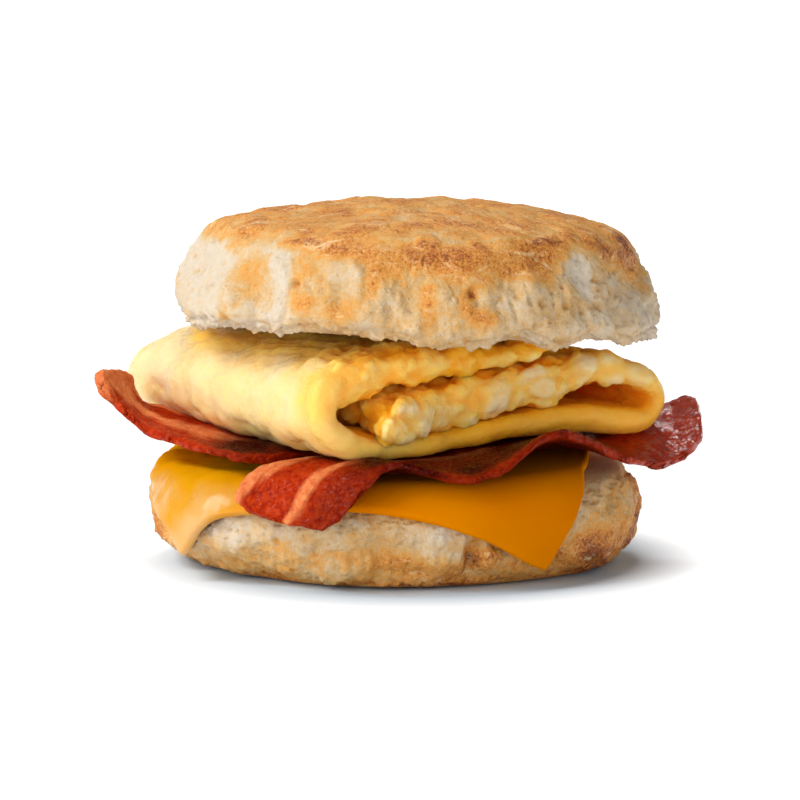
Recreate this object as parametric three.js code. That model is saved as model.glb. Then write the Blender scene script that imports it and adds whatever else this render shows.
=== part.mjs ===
// Breakfast sandwich: a split biscuit that holds a cheese slice, two bacon strips and a folded egg.
// Millimetres, +Z up, front towards -Y, origin at the middle of the flat base.
import * as THREE from "three";

// Driving dimensions: the two halves of the biscuit
const BISCUIT_RADIUS = 45.4;
const TOTAL_HEIGHT = 67;
const FRONT_FLATTENING = 2.8;
const LEAN = 0.055;
const LEFT_LEAN = 0.028;
const CRAG_DEPTH = 2.8;
const CRAG_SIZE = 9;
const LEDGE = 0.8;
const LEFT_CRAG = { out: 1.3, angle: 180, halfWidth: 22, height: 4.6, halfHeight: 2.8 };
const TOP_OFFSET = 4.3;
const TOP_RADIUS = 44.6;
const TOP_SLOPE = 0.035;
const TOP_LEFT_RISE = 1.4;
const TOP_RIGHT_DROP = 0.6;
const TOP_LEFT_BULGE = { out: 1.3, angle: 182, halfWidth: 42 };
const SIDE_BUMP = 1.3;
const CRUST_BUMP = 0.75;
const TORN_EDGE = 0.8;
const CLEARANCE = 0.4;

// The cheese slice, with its corners as they lie flat
const CHEESE_SIDE = 87;
const CHEESE_THICKNESS = 2;
const CHEESE_CORNER_CUT = 0.045;
const CHEESE_FRONT_SAG = 1.5;
const CHEESE_LEFT_CUT = 3.4;
const CHEESE_RIGHT_CUT = 2.2;
const CHEESE_WRINKLE = 0.45;
const SHOULDER_LIFT = 0.45;
const CHEESE_CORNERS = {
  frontLeft: [-46, -35.3],
  frontRight: [34.4, -46.3],
  backRight: [38, 41],
  backLeft: [-36.5, 51],
};

// The bacon strips
const BACON_LENGTH = 95;
const BACON_WIDTH = 23;
const BACON_THICKNESS = 2.2;
const BACON_UNEVENNESS = 0.12;
const BACON_END_INSET = 0.05;

// The folded egg: where its near lower corner lies, how far it is turned, and its sizes
const EGG_CORNER = [-9.3, -42];
const EGG_TURN = THREE.MathUtils.degToRad(33.8);
const EGG_LENGTH = 69.5;
const EGG_END_ROUNDING = 9;
const EGG_HEIGHT = 17;
const EGG_BASE = 23;
const EGG_RISE = 0.045;
const EGG_SQUEEZE = 0.025;
const EGG_WAVE = 0.35;
const EGG_CORNER_DROOP = 5;
const TONGUE_WIDTH = 0.06;
const TONGUE_REACH = 2.6;
const TONGUE_DROOP = 2.2;
const RAGGED_EDGE = 0.9;

// How strongly the rows of a half crowd towards its side, and the rounding of a sheet's rim
const BOTTOM_CROWDING = 0.13;
const TOP_CROWDING = 0.08;
const RIM_ROUNDING = 1.5;

// Colours, with how rough each surface is
const FINISH = {
  crust: { color: "#d9a562", roughness: 0.8, metalness: 0 },
  crumb: { color: "#e8d2ac", roughness: 0.85, metalness: 0 },
  cheese: { color: "#f0a41c", roughness: 0.35, metalness: 0 },
  bacon: { color: "#9c3a26", roughness: 0.4, metalness: 0 },
  egg: { color: "#eed27a", roughness: 0.5, metalness: 0 },
};

const { sin, cos, min, max, hypot, atan2, floor, sqrt, PI } = Math;

// Value noise: smooth random bumps between -1 and 1, one for each unit of length
const fract = (v) => v - floor(v);
const ease = (v) => v * v * (3 - 2 * v);
const mix = (a, b, share) => a + (b - a) * share;
const scatter = (i, j, k) => 2 * fract(sin(i * 12.7 + j * 31.1 + k * 7.47) * 4375.85) - 1;

function noise(x, y, z) {
  const [i, j, k] = [floor(x), floor(y), floor(z)];
  const [a, b, c] = [ease(x - i), ease(y - j), ease(z - k)];
  const edge = (dj, dk) => mix(scatter(i, j + dj, k + dk), scatter(i + 1, j + dj, k + dk), a);
  const side = (dk) => mix(edge(0, dk), edge(1, dk), b);
  return mix(side(0), side(1), c);
}

// Two octaves of noise at a point, for bumps about size millimetres across
function bumps(p, size) {
  const coarse = noise(p.x / size, p.y / size, p.z / size);
  const fine = noise(p.x / size * 2 + 9, p.y / size * 2, p.z / size * 2);
  return (coarse + fine / 2) / 1.5;
}

// 0 below the first value, 1 above the second, smooth between
const rise = (from, to, v) => ease(min(1, max(0, (v - from) / (to - from))));

// 1 at 0, and falling to both sides as a bell does
const bell = (v) => Math.exp(-(v ** 2));

// Degrees from a middle direction to an angle, between -180 and 180
const turned = (angle, middle) => (((angle * 180) / PI - middle + 540) % 360) - 180;

const curve = (points) =>
  new THREE.CatmullRomCurve3(points.map((p) => new THREE.Vector3(...p)), false, "catmullrom");

function geometry(points, faces) {
  const made = new THREE.BufferGeometry().setFromPoints(points);
  made.setIndex(faces);
  made.computeVertexNormals();
  return made;
}

// A point of a section whose rows crowd by an amount towards its middle, which is the body's side
const sectionPoint = (section, share, crowding) =>
  section.getPointAt(min(1, max(0, share + crowding * sin(2 * PI * share))));

// A closed round body: surface(angle, share) with share 0 at the lower pole and 1 at the upper one
function roundBody(around, rows, surface) {
  const points = [surface(0, 0)];
  for (let row = 1; row < rows; row++)
    for (let k = 0; k < around; k++) points.push(surface((2 * PI * k) / around, row / rows));
  points.push(surface(0, 1));
  const last = points.length - 1;
  const at = (row, k) => 1 + (row - 1) * around + (k % around);
  const faces = [];
  for (let k = 0; k < around; k++) {
    faces.push(0, at(1, k + 1), at(1, k));
    faces.push(last, at(rows - 1, k), at(rows - 1, k + 1));
    for (let row = 1; row < rows - 1; row++) {
      faces.push(at(row, k), at(row, k + 1), at(row + 1, k));
      faces.push(at(row + 1, k), at(row, k + 1), at(row + 1, k + 1));
    }
  }
  return geometry(points, faces);
}

// Shares from 0 to 1, evenly spaced but for two close steps at each end that round the edge off
function shares(count, length, edge) {
  const near = [0, (0.3 * edge) / length, (1.1 * edge) / length];
  const inner = Array.from({ length: count - 6 }, (_, k) => (k + 1) / (count - 5));
  const spread = inner.map((s) => near[2] + s * (1 - 2 * near[2]));
  return [...near, ...spread, ...near.map((s) => 1 - s).reverse()];
}

// A closed sheet: middle(u, v) is its middle surface, thickness(u, v) its thickness before the edges,
// where both faces meet, are rounded off
function sheet({ columns, rows, length, width, middle, thickness }) {
  const [us, vs] = [shares(columns, length, RIM_ROUNDING), shares(rows, width, RIM_ROUNDING)];
  const fullness = [0, 0.72, 1];
  const near = (k, count) => fullness[min(k, count - 1 - k, 2)];
  const step = 1e-3;
  const upper = [];
  const lower = [];
  us.forEach((u, i) =>
    vs.forEach((v, j) => {
      const p = middle(u, v);
      const along = middle(min(1, u + step), v).sub(middle(max(0, u - step), v));
      const across = middle(u, min(1, v + step)).sub(middle(u, max(0, v - step)));
      const normal = along.cross(across).normalize();
      const half = (thickness(u, v) / 2) * near(i, columns) * near(j, rows);
      upper.push(p.clone().addScaledVector(normal, half));
      lower.push(p.clone().addScaledVector(normal, -half));
    }),
  );
  const rim = (i, j) => i === 0 || j === 0 || i === columns - 1 || j === rows - 1;
  const top = (i, j) => i * rows + j;
  const bottom = (i, j) => (rim(i, j) ? 0 : upper.length) + i * rows + j;
  const faces = [];
  for (let i = 0; i < columns - 1; i++)
    for (let j = 0; j < rows - 1; j++) {
      const [a, b, c, d] = [[i, j], [i + 1, j], [i + 1, j + 1], [i, j + 1]];
      faces.push(top(...a), top(...b), top(...c), top(...a), top(...c), top(...d));
      faces.push(bottom(...a), bottom(...c), bottom(...b), bottom(...a), bottom(...d), bottom(...c));
    }
  return geometry([...upper, ...lower], faces);
}

// Bottom half of the biscuit: section from the middle of the flat base to the middle of the cut top
const BOTTOM_SECTION = curve([
  [0, 0, 0], [20, 0, 0], [36.5, 0, 0], [41.4, 0, 2.2], [44.6, 0, 6.6], [BISCUIT_RADIUS, 0, 11.2],
  [44.4, 0, 15.2], [42.4, 0, 17.7], [39, 0, 18.7], [33, 0, 18.9], [20, 0, 19], [0, 0, 19.1],
]);
BOTTOM_SECTION.arcLengthDivisions = 400;

// How far the round outline swells or shrinks at an angle, as a factor
function bottomOutline(angle) {
  const waves = 0.008 * cos(3 * angle + 1) + 0.006 * cos(5 * angle + 2.2);
  const front = (FRONT_FLATTENING / BISCUIT_RADIUS) * max(0, -sin(angle)) ** 1.5;
  return 1 + waves - front;
}

// How far the crag at the left stands out at an angle and a height
function leftCrag(angle, z) {
  const { out, halfWidth, height, halfHeight } = LEFT_CRAG;
  return out * bell(turned(angle, LEFT_CRAG.angle) / halfWidth) * bell((z - height) / halfHeight);
}

// How far the lower half's top is raised or lowered: it leans forward and to the left
function leaning(radius, angle, z) {
  const slope = LEAN * sin(angle) - LEFT_LEAN * max(0, -cos(angle)) ** 1.5;
  return slope * radius * rise(8, 18, z);
}

// The section turned about the axis, with a ledge and crags above the base: it is smooth at the right,
// and a crag stands out at the left
function bottomSurface(angle, share) {
  const s = sectionPoint(BOTTOM_SECTION, share, BOTTOM_CROWDING);
  const radius = s.x * bottomOutline(angle);
  const height = max(0, s.z + leaning(radius, angle, s.z));
  const p = new THREE.Vector3(radius * cos(angle), radius * sin(angle), height);
  const craggy = rise(0.5, 4, s.z) * (1 - rise(7, 14, s.z));
  const ledge = LEDGE * rise(0.5, 3, s.z) * (1 - rise(5, 8, s.z));
  const rough = 1 - 0.9 * bell(turned(angle, 0) / 26);
  const out = rough * (CRAG_DEPTH * (bumps(p, CRAG_SIZE) - 0.2) * craggy + ledge) + leftCrag(angle, s.z);
  p.x += out * cos(angle);
  p.y += out * sin(angle);
  return p;
}

// Top half of the biscuit: from the middle of the torn underside to the top of the dome
const TOP_SECTION = curve([
  [0, 0, 44.2], [22, 0, 44.1], [35, 0, 43.8], [40.4, 0, 43.2], [43.4, 0, 44], [TOP_RADIUS, 0, 46.6],
  [43.8, 0, 50], [42.4, 0, 53.5], [40.7, 0, 57], [38.8, 0, 59.8], [35.4, 0, 61.9], [27, 0, 64],
  [14, 0, 66.2], [0, 0, TOTAL_HEIGHT],
]);
TOP_SECTION.arcLengthDivisions = 400;
const TOP_LOBES = [
  { angle: 275, width: 5, drop: 1.6, out: 0.6 },
  { angle: 285.5, width: 5, drop: 1, out: 0.5 },
  { angle: 296.5, width: 4, drop: -0.5, out: -0.3 },
  { angle: 307, width: 6, drop: 1.4, out: 0.6 },
  { angle: 246, width: 10, drop: -0.7, out: -0.4 },
  { angle: 200, width: 9, drop: 0.9, out: 0.4 },
  { angle: 335, width: 12, drop: 0.9, out: 0.7 },
  { angle: 20, width: 11, drop: 0.8, out: 0.8 },
  { angle: 95, width: 12, drop: 1.2, out: 0.8 },
  { angle: 160, width: 10, drop: 0.9, out: 0.7 },
];

// The named lobes of the torn lower edge, added up at an angle
function lobes(angle, key) {
  return TOP_LOBES.reduce((sum, lobe) => sum + lobe[key] * bell(turned(angle, lobe.angle) / lobe.width), 0);
}

// How far a point at p.x is lifted: the torn edge slopes up to the left, and the crust is higher there too
function topLift(p, z) {
  const crust = TOP_LEFT_RISE * rise(10, 34, -p.x) - TOP_RIGHT_DROP * rise(24, 38, p.x);
  return mix(-TOP_SLOPE * p.x, crust, rise(46, 62, z));
}

// How far the top half's shoulder bulges out at the left
function topBulge(angle, z) {
  const shoulder = rise(45, 52, z) * (1 - rise(60.5, 63.5, z));
  return TOP_LEFT_BULGE.out * bell(turned(angle, TOP_LEFT_BULGE.angle) / TOP_LEFT_BULGE.halfWidth) * shoulder;
}

function topSurface(angle, share) {
  const s = sectionPoint(TOP_SECTION, share, TOP_CROWDING);
  const outline = 1 + 0.006 * cos(3 * angle + 0.4) + 0.007 * cos(4 * angle + 2);
  const radius = s.x * outline;
  const p = new THREE.Vector3(radius * cos(angle), radius * sin(angle), s.z);
  const edge = rise(34, 41, s.x) * (1 - rise(43, 50, s.z));
  const side = rise(36, 42, s.x) * (1 - rise(57, 61, s.z));
  const out = SIDE_BUMP * bumps(p, 8) * side + lobes(angle, "out") * edge + topBulge(angle, s.z);
  const crust = CRUST_BUMP * bumps(p.clone().setZ(0), 11) * rise(59, 62, s.z);
  const drop = edge * (lobes(angle, "drop") + TORN_EDGE * bumps(p, 6));
  p.z += crust - drop + topLift(p, s.z);
  p.x += out * cos(angle) + TOP_OFFSET;
  p.y += out * sin(angle);
  return p;
}

// The cheese slice lies on the biscuit's top and hangs over its shoulder: a point of the flat slice
// keeps its direction from the middle, and its distance is laid off along the section
const DRAPE_COUNT = 400;
const DRAPE_STEP = BOTTOM_SECTION.getLength() / DRAPE_COUNT;
const DRAPE = drapeSection();

// The biscuit's section from the middle of its top outwards, then straight down from its widest point
function drapeSection() {
  const section = BOTTOM_SECTION.getSpacedPoints(DRAPE_COUNT).reverse();
  const widest = section.findIndex((p, k) => k > 0 && p.x < section[k - 1].x) - 1;
  return section.map((p, k) =>
    k <= widest ? p : section[widest].clone().setZ(section[widest].z - (k - widest) * DRAPE_STEP),
  );
}

// The direction of the drape's section at one of its points
function drapeDirection(k) {
  return DRAPE[min(k + 1, DRAPE_COUNT)].clone().sub(DRAPE[max(k - 1, 0)]).normalize();
}

function draped(x, y) {
  const angle = atan2(y, x);
  const reach = min(hypot(x, y) / DRAPE_STEP / bottomOutline(angle), DRAPE_COUNT - 2);
  const [k, share] = [floor(reach), reach - floor(reach)];
  const s = DRAPE[k].clone().lerp(DRAPE[k + 1], share);
  const along = drapeDirection(k).lerp(drapeDirection(k + 1), share).normalize();
  const melted = CHEESE_WRINKLE * max(0, noise(x / 7, y / 5, 11)) * rise(10, 34, -x);
  const shoulder = SHOULDER_LIFT * rise(37, 42, s.x);
  const lift = CLEARANCE + CHEESE_THICKNESS / 2 + shoulder + melted;
  const radius = s.x * bottomOutline(angle) - lift * along.z;
  const height = s.z + leaning(radius, angle, s.z) + lift * along.x;
  return new THREE.Vector3(radius * cos(angle), radius * sin(angle), height);
}

function cheeseMiddle(u, v) {
  const [a, b] = [2 * u - 1, 2 * v - 1];
  const [ca, cb] = [a * (1 - CHEESE_CORNER_CUT * b ** 8), b * (1 - CHEESE_CORNER_CUT * a ** 8)];
  const [s, t] = [(ca + 1) / 2, (cb + 1) / 2];
  const { frontLeft, frontRight, backRight, backLeft } = CHEESE_CORNERS;
  const flat = (k) =>
    mix(mix(frontLeft[k], frontRight[k], s), mix(backLeft[k], backRight[k], s), t);
  const sag = CHEESE_FRONT_SAG * sin(PI * s ** 1.3) - CHEESE_LEFT_CUT * bell((s - 0.17) / 0.12);
  const cut = CHEESE_RIGHT_CUT * bell((t - 0.2) / 0.14) * s ** 4;
  return draped(flat(0) - cut, flat(1) - sag * (1 - t) ** 2);
}

// A bacon strip between its front edge and its back edge: crown lifts its middle line at each station
function baconStrip({ front, back, crown, columns }) {
  const [near, far] = [curve(front), curve(back)];
  const lift = curve(crown.map((height) => [0, 0, height]));
  const middle = (u, v) => {
    const inset = BACON_END_INSET * (1 - sqrt(max(0, 1 - (2 * v - 1) ** 2))) ** 2;
    const s = mix(inset, 1 - inset, u);
    const p = near.getPoint(s).lerp(far.getPoint(s), v);
    p.z += 4 * v * (1 - v) * lift.getPoint(s).z;
    return p;
  };
  const thickness = (u, v) => BACON_THICKNESS * (1 + BACON_UNEVENNESS * noise(u * 18, v * 4, 3));
  return sheet({ columns, rows: 9, length: BACON_LENGTH, width: BACON_WIDTH, middle, thickness });
}

const FRONT_STRIP = {
  front: [
    [-10.3, -47.2, 10.6], [-5, -46.3, 18.4], [1, -44.8, 22.9], [7, -43.6, 21.2], [13.5, -42.4, 19.6],
    [20, -39.5, 21.4], [27.5, -34, 27], [34.5, -28, 25.4], [42, -17.5, 20.4], [50.3, -9.8, 18.6],
    [57.6, -4, 22.5],
  ],
  back: [
    [-28.8, -41, 15.4], [-23.5, -37, 20.8], [-15, -29, 21.7], [-8, -22.5, 21.5], [0, -17.5, 21.9],
    [8, -12, 22.3], [17, -6, 22.8], [26, -1, 22.9], [36, 4.4, 22.9], [50.4, 9.6, 27.4], [57, 8.6, 30.2],
  ],
  crown: [0, 0.4, -0.4, 0, 0.8, 0.3, -2, -0.7, 0.4, -0.6, 0],
  columns: 40,
};

const LEFT_STRIP = {
  front: [
    [-54.4, -8, 35.7], [-52.4, -8.6, 31.8], [-48.6, -9.8, 28], [-44.6, -12.6, 25.2], [-39, -19, 24],
    [-32, -27, 23], [-26, -30.5, 22.2], [-19.5, -27.5, 21.8], [-9.5, -17.5, 22], [3, -7.5, 22.4],
  ],
  back: [
    [-49.2, 3, 34.4], [-48.7, 3.6, 31.3], [-46.8, 4.4, 28.2], [-42.6, 4.6, 27.3], [-35.5, 2.1, 25.3],
    [-26.5, -4, 23.3], [-19, -8, 22.7], [-12, -9.5, 22.4], [-3, -4, 22.6], [9, 7, 23.2],
  ],
  crown: [0, 0, 0, -0.4, -0.4, -0.2, 0, 0, 0, 0],
  columns: 36,
};

// Section of the folded egg sheet, from the free end of the inner flap to the free end of the top flap:
// distance along the front-right face, height and thickness
const INNER_FLAP = [
  [8, 30.6, 5.6], [12, 30.7, 7.2], [18, 31, 7.7], [25, 31.4, 8], [37, 33.2, 7.5], [47, 34.3, 7.5],
];
const RIGHT_TURN = [[56, 35.8, 5.6], [63, 35.7, 4.4], [69, 33.2, 4], [71.4, 30, 3.9], [68.6, 26.9, 4]];
const LOWER_LAYER = [[61, 26.7, 4.3], [49, 27.6, 4.3], [37, 26.6, 4], [26, 25.1, 3.7], [13, 24.8, 3.6]];
const LEFT_TURN = [[4, 25.4, 4], [-0.6, 28.2, 4.4], [-1.6, 31.4, 4.8], [-0.4, 34.4, 6.3], [4.2, 36.4, 8]];
const TOP_FLAP = [[9, 37.6, 7.3], [13, 38.4, 6.6], [25, 39, 5.8], [37, 39.9, 4.6], [47, 41, 2.8]];
const EGG_SECTION = curve([
  ...INNER_FLAP, ...RIGHT_TURN, ...LOWER_LAYER, ...LEFT_TURN, ...TOP_FLAP,
]);
EGG_SECTION.arcLengthDivisions = 400;

// How much of the egg's full height is left near its far rounded end
function eggFullness(along) {
  const into = max(0, along - (EGG_LENGTH - EGG_END_ROUNDING)) / EGG_END_ROUNDING;
  return sqrt(1 - 0.86 * into ** 2);
}

function eggMiddle(u, v) {
  const s = EGG_SECTION.getPointAt(u);
  const tongue = bell(u / TONGUE_WIDTH);
  const ragged = RAGGED_EDGE * noise(u * 26, 0, 7) - TONGUE_REACH * tongue;
  const along = v * EGG_LENGTH + ragged * (1 - v);
  const fullness = eggFullness(along);
  const level = (s.y - EGG_BASE) / EGG_HEIGHT;
  const lift = (EGG_RISE - EGG_SQUEEZE * level) * along;
  const middle = EGG_BASE + EGG_HEIGHT / 2;
  const wave = EGG_WAVE * noise(s.x / 9, along / 9, 5);
  const droop = -TONGUE_DROOP * tongue * (1 - rise(0, 0.16, v));
  const corner = -EGG_CORNER_DROOP * rise(30, 72, s.x) * rise(30, EGG_LENGTH, along);
  const height = mix(middle, s.y, fullness) + lift + wave + droop + corner;
  const [x, y] = [s.x, along];
  return new THREE.Vector3(
    EGG_CORNER[0] + x * cos(EGG_TURN) - y * sin(EGG_TURN),
    EGG_CORNER[1] + x * sin(EGG_TURN) + y * cos(EGG_TURN),
    height,
  );
}

function eggThickness(u, v) {
  return EGG_SECTION.getPointAt(u).z * eggFullness(v * EGG_LENGTH);
}

function piece(name, shape, finish) {
  const mesh = new THREE.Mesh(shape, new THREE.MeshStandardMaterial(finish));
  mesh.name = name;
  return mesh;
}

const sandwich = new THREE.Group();
sandwich.add(
  piece("bottom_biscuit", roundBody(72, 20, bottomSurface), FINISH.crumb),
  piece("top_biscuit", roundBody(72, 25, topSurface), FINISH.crust),
  piece(
    "cheese_slice",
    sheet({
      columns: 24,
      rows: 24,
      length: CHEESE_SIDE,
      width: CHEESE_SIDE,
      middle: cheeseMiddle,
      thickness: () => CHEESE_THICKNESS,
    }),
    FINISH.cheese,
  ),
  piece("bacon_front", baconStrip(FRONT_STRIP), FINISH.bacon),
  piece("bacon_left", baconStrip(LEFT_STRIP), FINISH.bacon),
  piece(
    "egg_fold",
    sheet({
      columns: 60,
      rows: 15,
      length: EGG_SECTION.getLength(),
      width: EGG_LENGTH,
      middle: eggMiddle,
      thickness: eggThickness,
    }),
    FINISH.egg,
  ),
);

export default sandwich;
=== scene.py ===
"""Finish of the breakfast sandwich: biscuit halves, cheese, bacon and folded egg on a studio floor."""
import math

import bpy
import numpy as np
from bpy.props import FloatProperty, FloatVectorProperty, PointerProperty
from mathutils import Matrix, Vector


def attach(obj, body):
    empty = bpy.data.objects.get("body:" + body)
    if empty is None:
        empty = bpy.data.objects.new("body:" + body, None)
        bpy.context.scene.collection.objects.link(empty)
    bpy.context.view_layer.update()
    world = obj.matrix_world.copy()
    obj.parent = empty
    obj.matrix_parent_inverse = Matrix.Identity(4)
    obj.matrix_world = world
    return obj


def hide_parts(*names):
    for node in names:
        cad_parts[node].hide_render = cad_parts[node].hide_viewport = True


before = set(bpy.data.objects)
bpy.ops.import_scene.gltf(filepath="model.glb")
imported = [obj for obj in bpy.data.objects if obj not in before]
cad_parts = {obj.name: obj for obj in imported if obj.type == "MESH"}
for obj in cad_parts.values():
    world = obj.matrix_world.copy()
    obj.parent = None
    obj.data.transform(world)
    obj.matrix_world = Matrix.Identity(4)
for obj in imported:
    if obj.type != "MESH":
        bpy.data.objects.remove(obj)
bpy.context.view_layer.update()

bl_info = {
    "name": "Breakfast Sandwich",
    "version": (1, 0, 0),
    "blender": (4, 5, 0),
    "location": "View3D > Sidebar > Sandwich",
    "description": "Makes a biscuit sandwich with egg, bacon and cheese, and the studio around it",
    "category": "Add Mesh",
}

# Shapes are worked out in millimetres; Blender's unit is the metre
MM = 0.001

# Driving dimensions of the solids that the pieces stand for. The crag is given by its direction, height, half
# width in degrees, half height and reach, the bulge by its direction, half width in degrees and reach
BISCUIT_RADIUS = 45.4
TOTAL_HEIGHT = 67
FRONT_FLATTENING = 2.8
TOP_OFFSET = 4.3
TOP_RADIUS = 44.6
LEAN = 0.055
LEFT_LEAN = 0.028
LEDGE = 0.8
LEFT_CRAG = (180, 4.6, 22, 2.8, 1.3)
TOP_SLOPE = 0.035
TOP_LEFT_RISE = 1.4
TOP_RIGHT_DROP = 0.6
TOP_LEFT_BULGE = (182, 42, 1.3)
SIDE_BUMP = 1.3
CRUST_BUMP = 0.75
TORN_EDGE = 0.8
CLEARANCE = 0.4
CHEESE_THICKNESS = 2
CHEESE_CORNER_CUT = 0.045
CHEESE_SIDE = 87
CHEESE_FRONT_SAG = 1.5
CHEESE_LEFT_CUT = 3.4
CHEESE_RIGHT_CUT = 2.2
CHEESE_WRINKLE = 0.45
SHOULDER_LIFT = 0.45
CHEESE_CORNERS = {
    "front_left": (-46, -35.3),
    "front_right": (34.4, -46.3),
    "back_right": (38, 41),
    "back_left": (-36.5, 51),
}
BACON_LENGTH = 95
BACON_WIDTH = 23
BACON_THICKNESS = 2.2
BACON_UNEVENNESS = 0.12
BACON_END_INSET = 0.05
EGG_CORNER = (-9.3, -42)
EGG_TURN = math.radians(33.8)
EGG_LENGTH = 69.5
EGG_END_ROUNDING = 9
EGG_HEIGHT = 17
EGG_BASE = 23
EGG_RISE = 0.045
EGG_SQUEEZE = 0.025
EGG_WAVE = 0.35
EGG_CORNER_DROOP = 5
TONGUE_WIDTH = 0.06
TONGUE_REACH = 2.6
TONGUE_DROOP = 2.2
RAGGED_EDGE = 0.9

# The base is tucked in at the front left, which the solid is not: direction, half width in degrees, and depth
BASE_TUCK = (214, 32, 4.3)

# Sections of the two halves: distance from the axis and height, from the lower pole to the upper one
BOTTOM_SECTION = [
    (0, 0), (20, 0), (36.5, 0), (41.4, 2.2), (44.6, 6.6), (BISCUIT_RADIUS, 11.2),
    (44.4, 15.2), (42.4, 17.7), (39, 18.7), (33, 18.9), (20, 19), (0, 19.1),
]
TOP_SECTION = [
    (0, 44.2), (22, 44.1), (35, 43.8), (40.4, 43.2), (43.4, 44), (TOP_RADIUS, 46.6), (43.8, 50),
    (42.4, 53.5), (40.7, 57), (38.8, 59.8), (35.4, 61.9), (27, 64), (14, 66.2), (0, TOTAL_HEIGHT),
]
# Lobes of the torn lower edge: direction and width in degrees, how far they hang and stand out
TOP_LOBES = [
    (275, 5, 1.6, 0.6), (285.5, 5, 1, 0.5), (296.5, 4, -0.5, -0.3), (307, 6, 1.4, 0.6),
    (246, 10, -0.7, -0.4), (200, 9, 0.9, 0.4), (335, 12, 0.9, 0.7), (20, 11, 0.8, 0.8),
    (95, 12, 1.2, 0.8), (160, 10, 0.9, 0.7),
]

# Marks on the sides of the halves: direction in degrees, height, half width in degrees, half height,
# how far it stands out and how much browner it is
TOP_MARKS = [
    (228.5, 52.8, 6.2, 4.6, 0.1, 0.36), (235.2, 55.6, 2.4, 1.9, 0.5, -0.4),
    (237.6, 52.5, 1.5, 4.5, 0.3, -0.3), (242.8, 55.2, 4.6, 4.2, 0.1, 0.4),
    (241, 52.9, 1.1, 0.7, -1.4, 0.3), (243.7, 49.7, 2.6, 2, 0.3, 0.5), (251.5, 47.8, 4.8, 2.8, 0, 0.42),
    (222.5, 46.2, 3.4, 2, 0, 0.42), (259.3, 53.6, 2.1, 3.6, 0.2, 0.45), (272.3, 50.6, 1.9, 4, 0.2, 0.36),
    (282.9, 52.5, 1.1, 1, -1, 0.5), (279.5, 54.5, 2.4, 2, -0.5, 0.2), (285.6, 48.6, 3.9, 1.7, 0.4, 0.5),
    (281, 50.8, 1.8, 1.8, 0.2, 0.4), (314, 55.8, 2.6, 2.8, -0.4, -0.5), (324, 58.6, 5, 3, 0.2, 0.4),
    (342, 57.5, 14, 4.4, 0.1, 0.55), (188, 56.5, 18, 4.6, -2.1, -0.1), (297.5, 46.9, 0.8, 1.2, -1, 0.1),
    (317, 50, 0.8, 0.8, -1, 0.1), (323, 47, 1.4, 0.8, -0.8, 0.1), (305.5, 45.4, 1.3, 0.9, -0.8, 0.1),
    (266, 50, 4, 3.5, -0.5, 0), (253, 52, 3, 3, -0.6, -0.05), (292, 52, 3, 3, -0.5, 0),
    (300, 50, 2.5, 5, 0.6, 0.02), (40, 53, 9, 4, 0, 0.3), (75, 56, 6, 3, 0.3, -0.4),
    (105, 52, 10, 4, 0, 0.35), (140, 49, 4, 3, 0.2, 0.35), (165, 55, 8, 4, -0.4, -0.4),
    (180, 50, 5, 3, 0.2, 0.3), (120, 56, 5, 4, 0, 0.3), (209, 54, 8, 6, 0, -0.2),
    # The first two marks on the next line are pale streaks along the crust's rim: partly flour, partly
    # painted highlight
    (268, 61.2, 9, 0.3, 0.2, -0.35), (288, 60.9, 10, 0.3, 0.2, -0.4), (219, 58.4, 4, 1.4, 0.3, 0.4),
    (239, 59.4, 5, 1.3, 0.3, 0.4), (249, 59, 3, 1.4, 0.3, 0.4), (272, 57.6, 10, 2.2, 0, 0.26),
    # The mark on the next line browns the crust's lower edge at the front right: painted shade
    (296, 57.2, 11, 2.6, 0, 0.24),
]
BOTTOM_MARKS = [
    (289.6, 5.6, 1.8, 2.8, -2.8, 0.5), (291, 9.4, 1.2, 1.6, -1.4, 0.3), (294.2, 5.8, 2.4, 2, 1.1, 0.2),
    (262, 9, 4, 3, 0.5, 0.1), (240, 8.5, 3, 3.2, 0.7, 0.1), (251, 6, 2.5, 2.4, -0.9, 0.1),
    (272, 12.5, 4, 2, -0.7, -0.12), (281, 11.5, 3.5, 2.6, 0.5, -0.14), (354, 10, 12, 7, 0, 0.5),
    (334, 13, 8, 3.6, 0, 0.1), (330, 5.5, 18, 4.4, 0.4, 0.42), (188, 9, 14, 8, 0, 0.5),
]

# Stations of the two strips: their front edge, their back edge and how far the middle line is lifted
FRONT_STRIP = {
    "front": [
        (-10.3, -47.2, 10.6), (-5, -46.3, 18.4), (1, -44.8, 22.9), (7, -43.6, 21.2), (13.5, -42.4, 19.6),
        (20, -39.5, 21.4), (27.5, -34, 27), (34.5, -28, 25.4), (42, -17.5, 20.4), (50.3, -9.8, 18.6),
        (57.6, -4, 22.5),
    ],
    "back": [
        (-28.8, -41, 15.4), (-23.5, -37, 20.8), (-15, -29, 21.7), (-8, -22.5, 21.5), (0, -17.5, 21.9),
        (8, -12, 22.3), (17, -6, 22.8), (26, -1, 22.9), (36, 4.4, 22.9), (50.4, 9.6, 27.4), (57, 8.6, 30.2),
    ],
    "crown": [0, 0.4, -0.4, 0, 0.8, 0.3, -2, -0.7, 0.4, -0.6, 0],
    "fat": [(0.43, 0.08), (0.9, 0.12)],
    "fat_tip": 0,
    "lean_end": (0.6, 0.75),
    # Painted shade under the egg: where along the strip it starts, is full, begins to fade and ends. The
    # shade below is painted shade where the front edge starts
    "dark": (0.1, 0.23, 0.74, 0.84),
    "wet": (0.8, 0.88),
    "shade": 0.45,
}
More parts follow.
